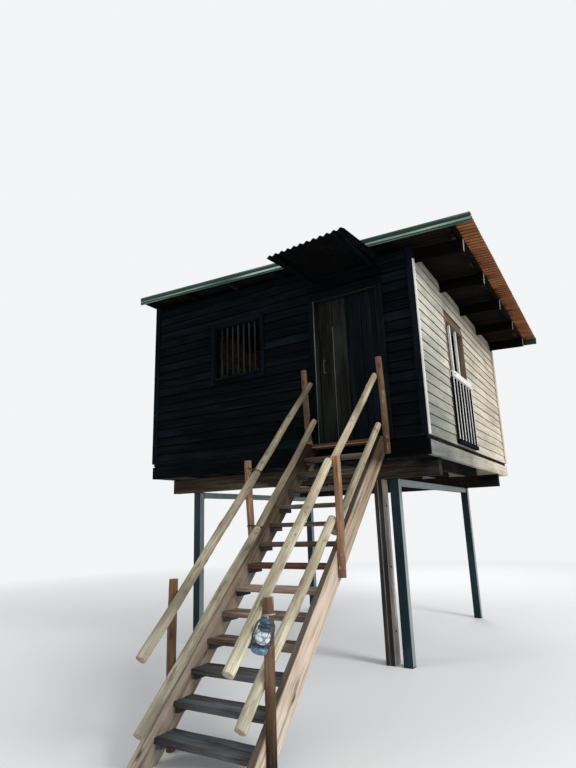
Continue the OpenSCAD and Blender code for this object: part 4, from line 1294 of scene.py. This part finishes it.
clip = [collar + Vector((math.sin(t), -math.cos(t), 0)) * (NEWEL_R + 0.004) for t in angles]
crown = in_lantern(0, 0, 0.99)
hook = [crown - Z * 0.004, crown + Vector((0, 0.008, 0.012)), clip[0].lerp(crown, 0.4)]
p.tube(hook + clip, 0.0055, "lantern_clip")
p.done(replaces=["lantern"], slot="lantern_paint")


# Camera and light

YAW, PITCH, ROLL = math.radians(30.897), math.radians(14.336), math.radians(-1.925)
ahead = Vector((-math.sin(YAW) * math.cos(PITCH), math.cos(YAW) * math.cos(PITCH), math.sin(PITCH)))
level = Vector((math.cos(YAW), math.sin(YAW), 0))
above = level.cross(ahead)
right = level * math.cos(ROLL) + above * math.sin(ROLL)
above = above * math.cos(ROLL) - level * math.sin(ROLL)
data = bpy.data.cameras.new("camera")
data.sensor_fit = "VERTICAL"
data.sensor_height = 36.0
data.lens = 25.281
data.clip_end = 200.0
camera = bpy.data.objects.new("camera", data)
turn = Matrix((right, above, -ahead)).transposed()
camera.matrix_world = Matrix.Translation((2.300, -6.266, 1.599)) @ turn.to_4x4()
bpy.context.scene.collection.objects.link(camera)
bpy.context.scene.camera = camera

AIM = Vector((-1.2, 0.8, 2.6))
for name, place, size, power in (("key", (10.5, -2.5, 9.0), 5.0, 1150), ("fill", (-8.0, -9.0, 6.0), 8.0, 260),
                                 ("back", (-3.0, 12.0, 8.0), 7.0, 600), ("low", (3.0, -9.0, 1.6), 6.0, 90)):
    lamp = bpy.data.lights.new(name, "AREA")
    lamp.shape = "DISK"
    lamp.size = size
    lamp.energy = power
    obj = bpy.data.objects.new(name, lamp)
    obj.location = place
    obj.rotation_euler = (AIM - obj.location).to_track_quat("-Z", "Y").to_euler()
    bpy.context.scene.collection.objects.link(obj)


# Floor and backdrop

PALE = (0.90, 0.91, 0.92, 1.0)


def seen(tree):
    """1 for the rays that show the backdrop: from the camera, in gloss and through glass."""
    path = tree.nodes.new("ShaderNodeLightPath")
    found = path.outputs["Is Camera Ray"]
    for other in ("Is Glossy Ray", "Is Transmission Ray"):
        either = tree.nodes.new("ShaderNodeMath")
        either.operation = "MAXIMUM"
        tree.links.new(found, either.inputs[0])
        tree.links.new(path.outputs[other], either.inputs[1])
        found = either.outputs[0]
    return found


def mixed(tree, factor, first, second, output):
    pick = tree.nodes.new("ShaderNodeMixShader")
    for source, socket in zip((factor, first, second), pick.inputs):
        tree.links.new(source, socket)
    tree.links.new(pick.outputs[0], output)


world = bpy.data.worlds.new("studio")
bpy.context.scene.world = world
world.use_nodes = True
tree = world.node_tree
tree.nodes.clear()
soft, shown = tree.nodes.new("ShaderNodeBackground"), tree.nodes.new("ShaderNodeBackground")
soft.inputs[0].default_value = (0.95, 0.97, 1.0, 1.0)
soft.inputs[1].default_value = 0.6
shown.inputs[0].default_value = PALE
out = tree.nodes.new("ShaderNodeOutputWorld")
mixed(tree, seen(tree), soft.outputs[0], shown.outputs[0], out.inputs[0])

# The floor takes the shadows near the house and turns into the backdrop further out
bpy.ops.mesh.primitive_plane_add(size=240, location=(0, 0, 0))
ground = bpy.context.object
ground.name = "ground"
stage = Material("ground", rough=0.9, specular=0.0)
stage.bsdf.inputs["Base Color"].default_value = (0.80, 0.805, 0.81, 1.0)
away = stage.node("ShaderNodeVectorMath", operation="DISTANCE")
stage.link(stage.place(), away.inputs[0])
away.inputs[1].default_value = (-1.2, 1.0, 0.0)
fade = stage.ramp(stage.maths("DIVIDE", away.outputs["Value"], 20.0), (0.25, 0.0), (0.75, 1.0))
backdrop = stage.node("ShaderNodeEmission")
backdrop.inputs[0].default_value = PALE
mixed(stage.tree, stage.maths("MULTIPLY", fade, seen(stage.tree)), stage.bsdf.outputs[0], backdrop.outputs[0],
      stage.tree.nodes["Material Output"].inputs[0])
ground.data.materials.append(stage.material)

bpy.context.scene.view_settings.view_transform = "Standard"
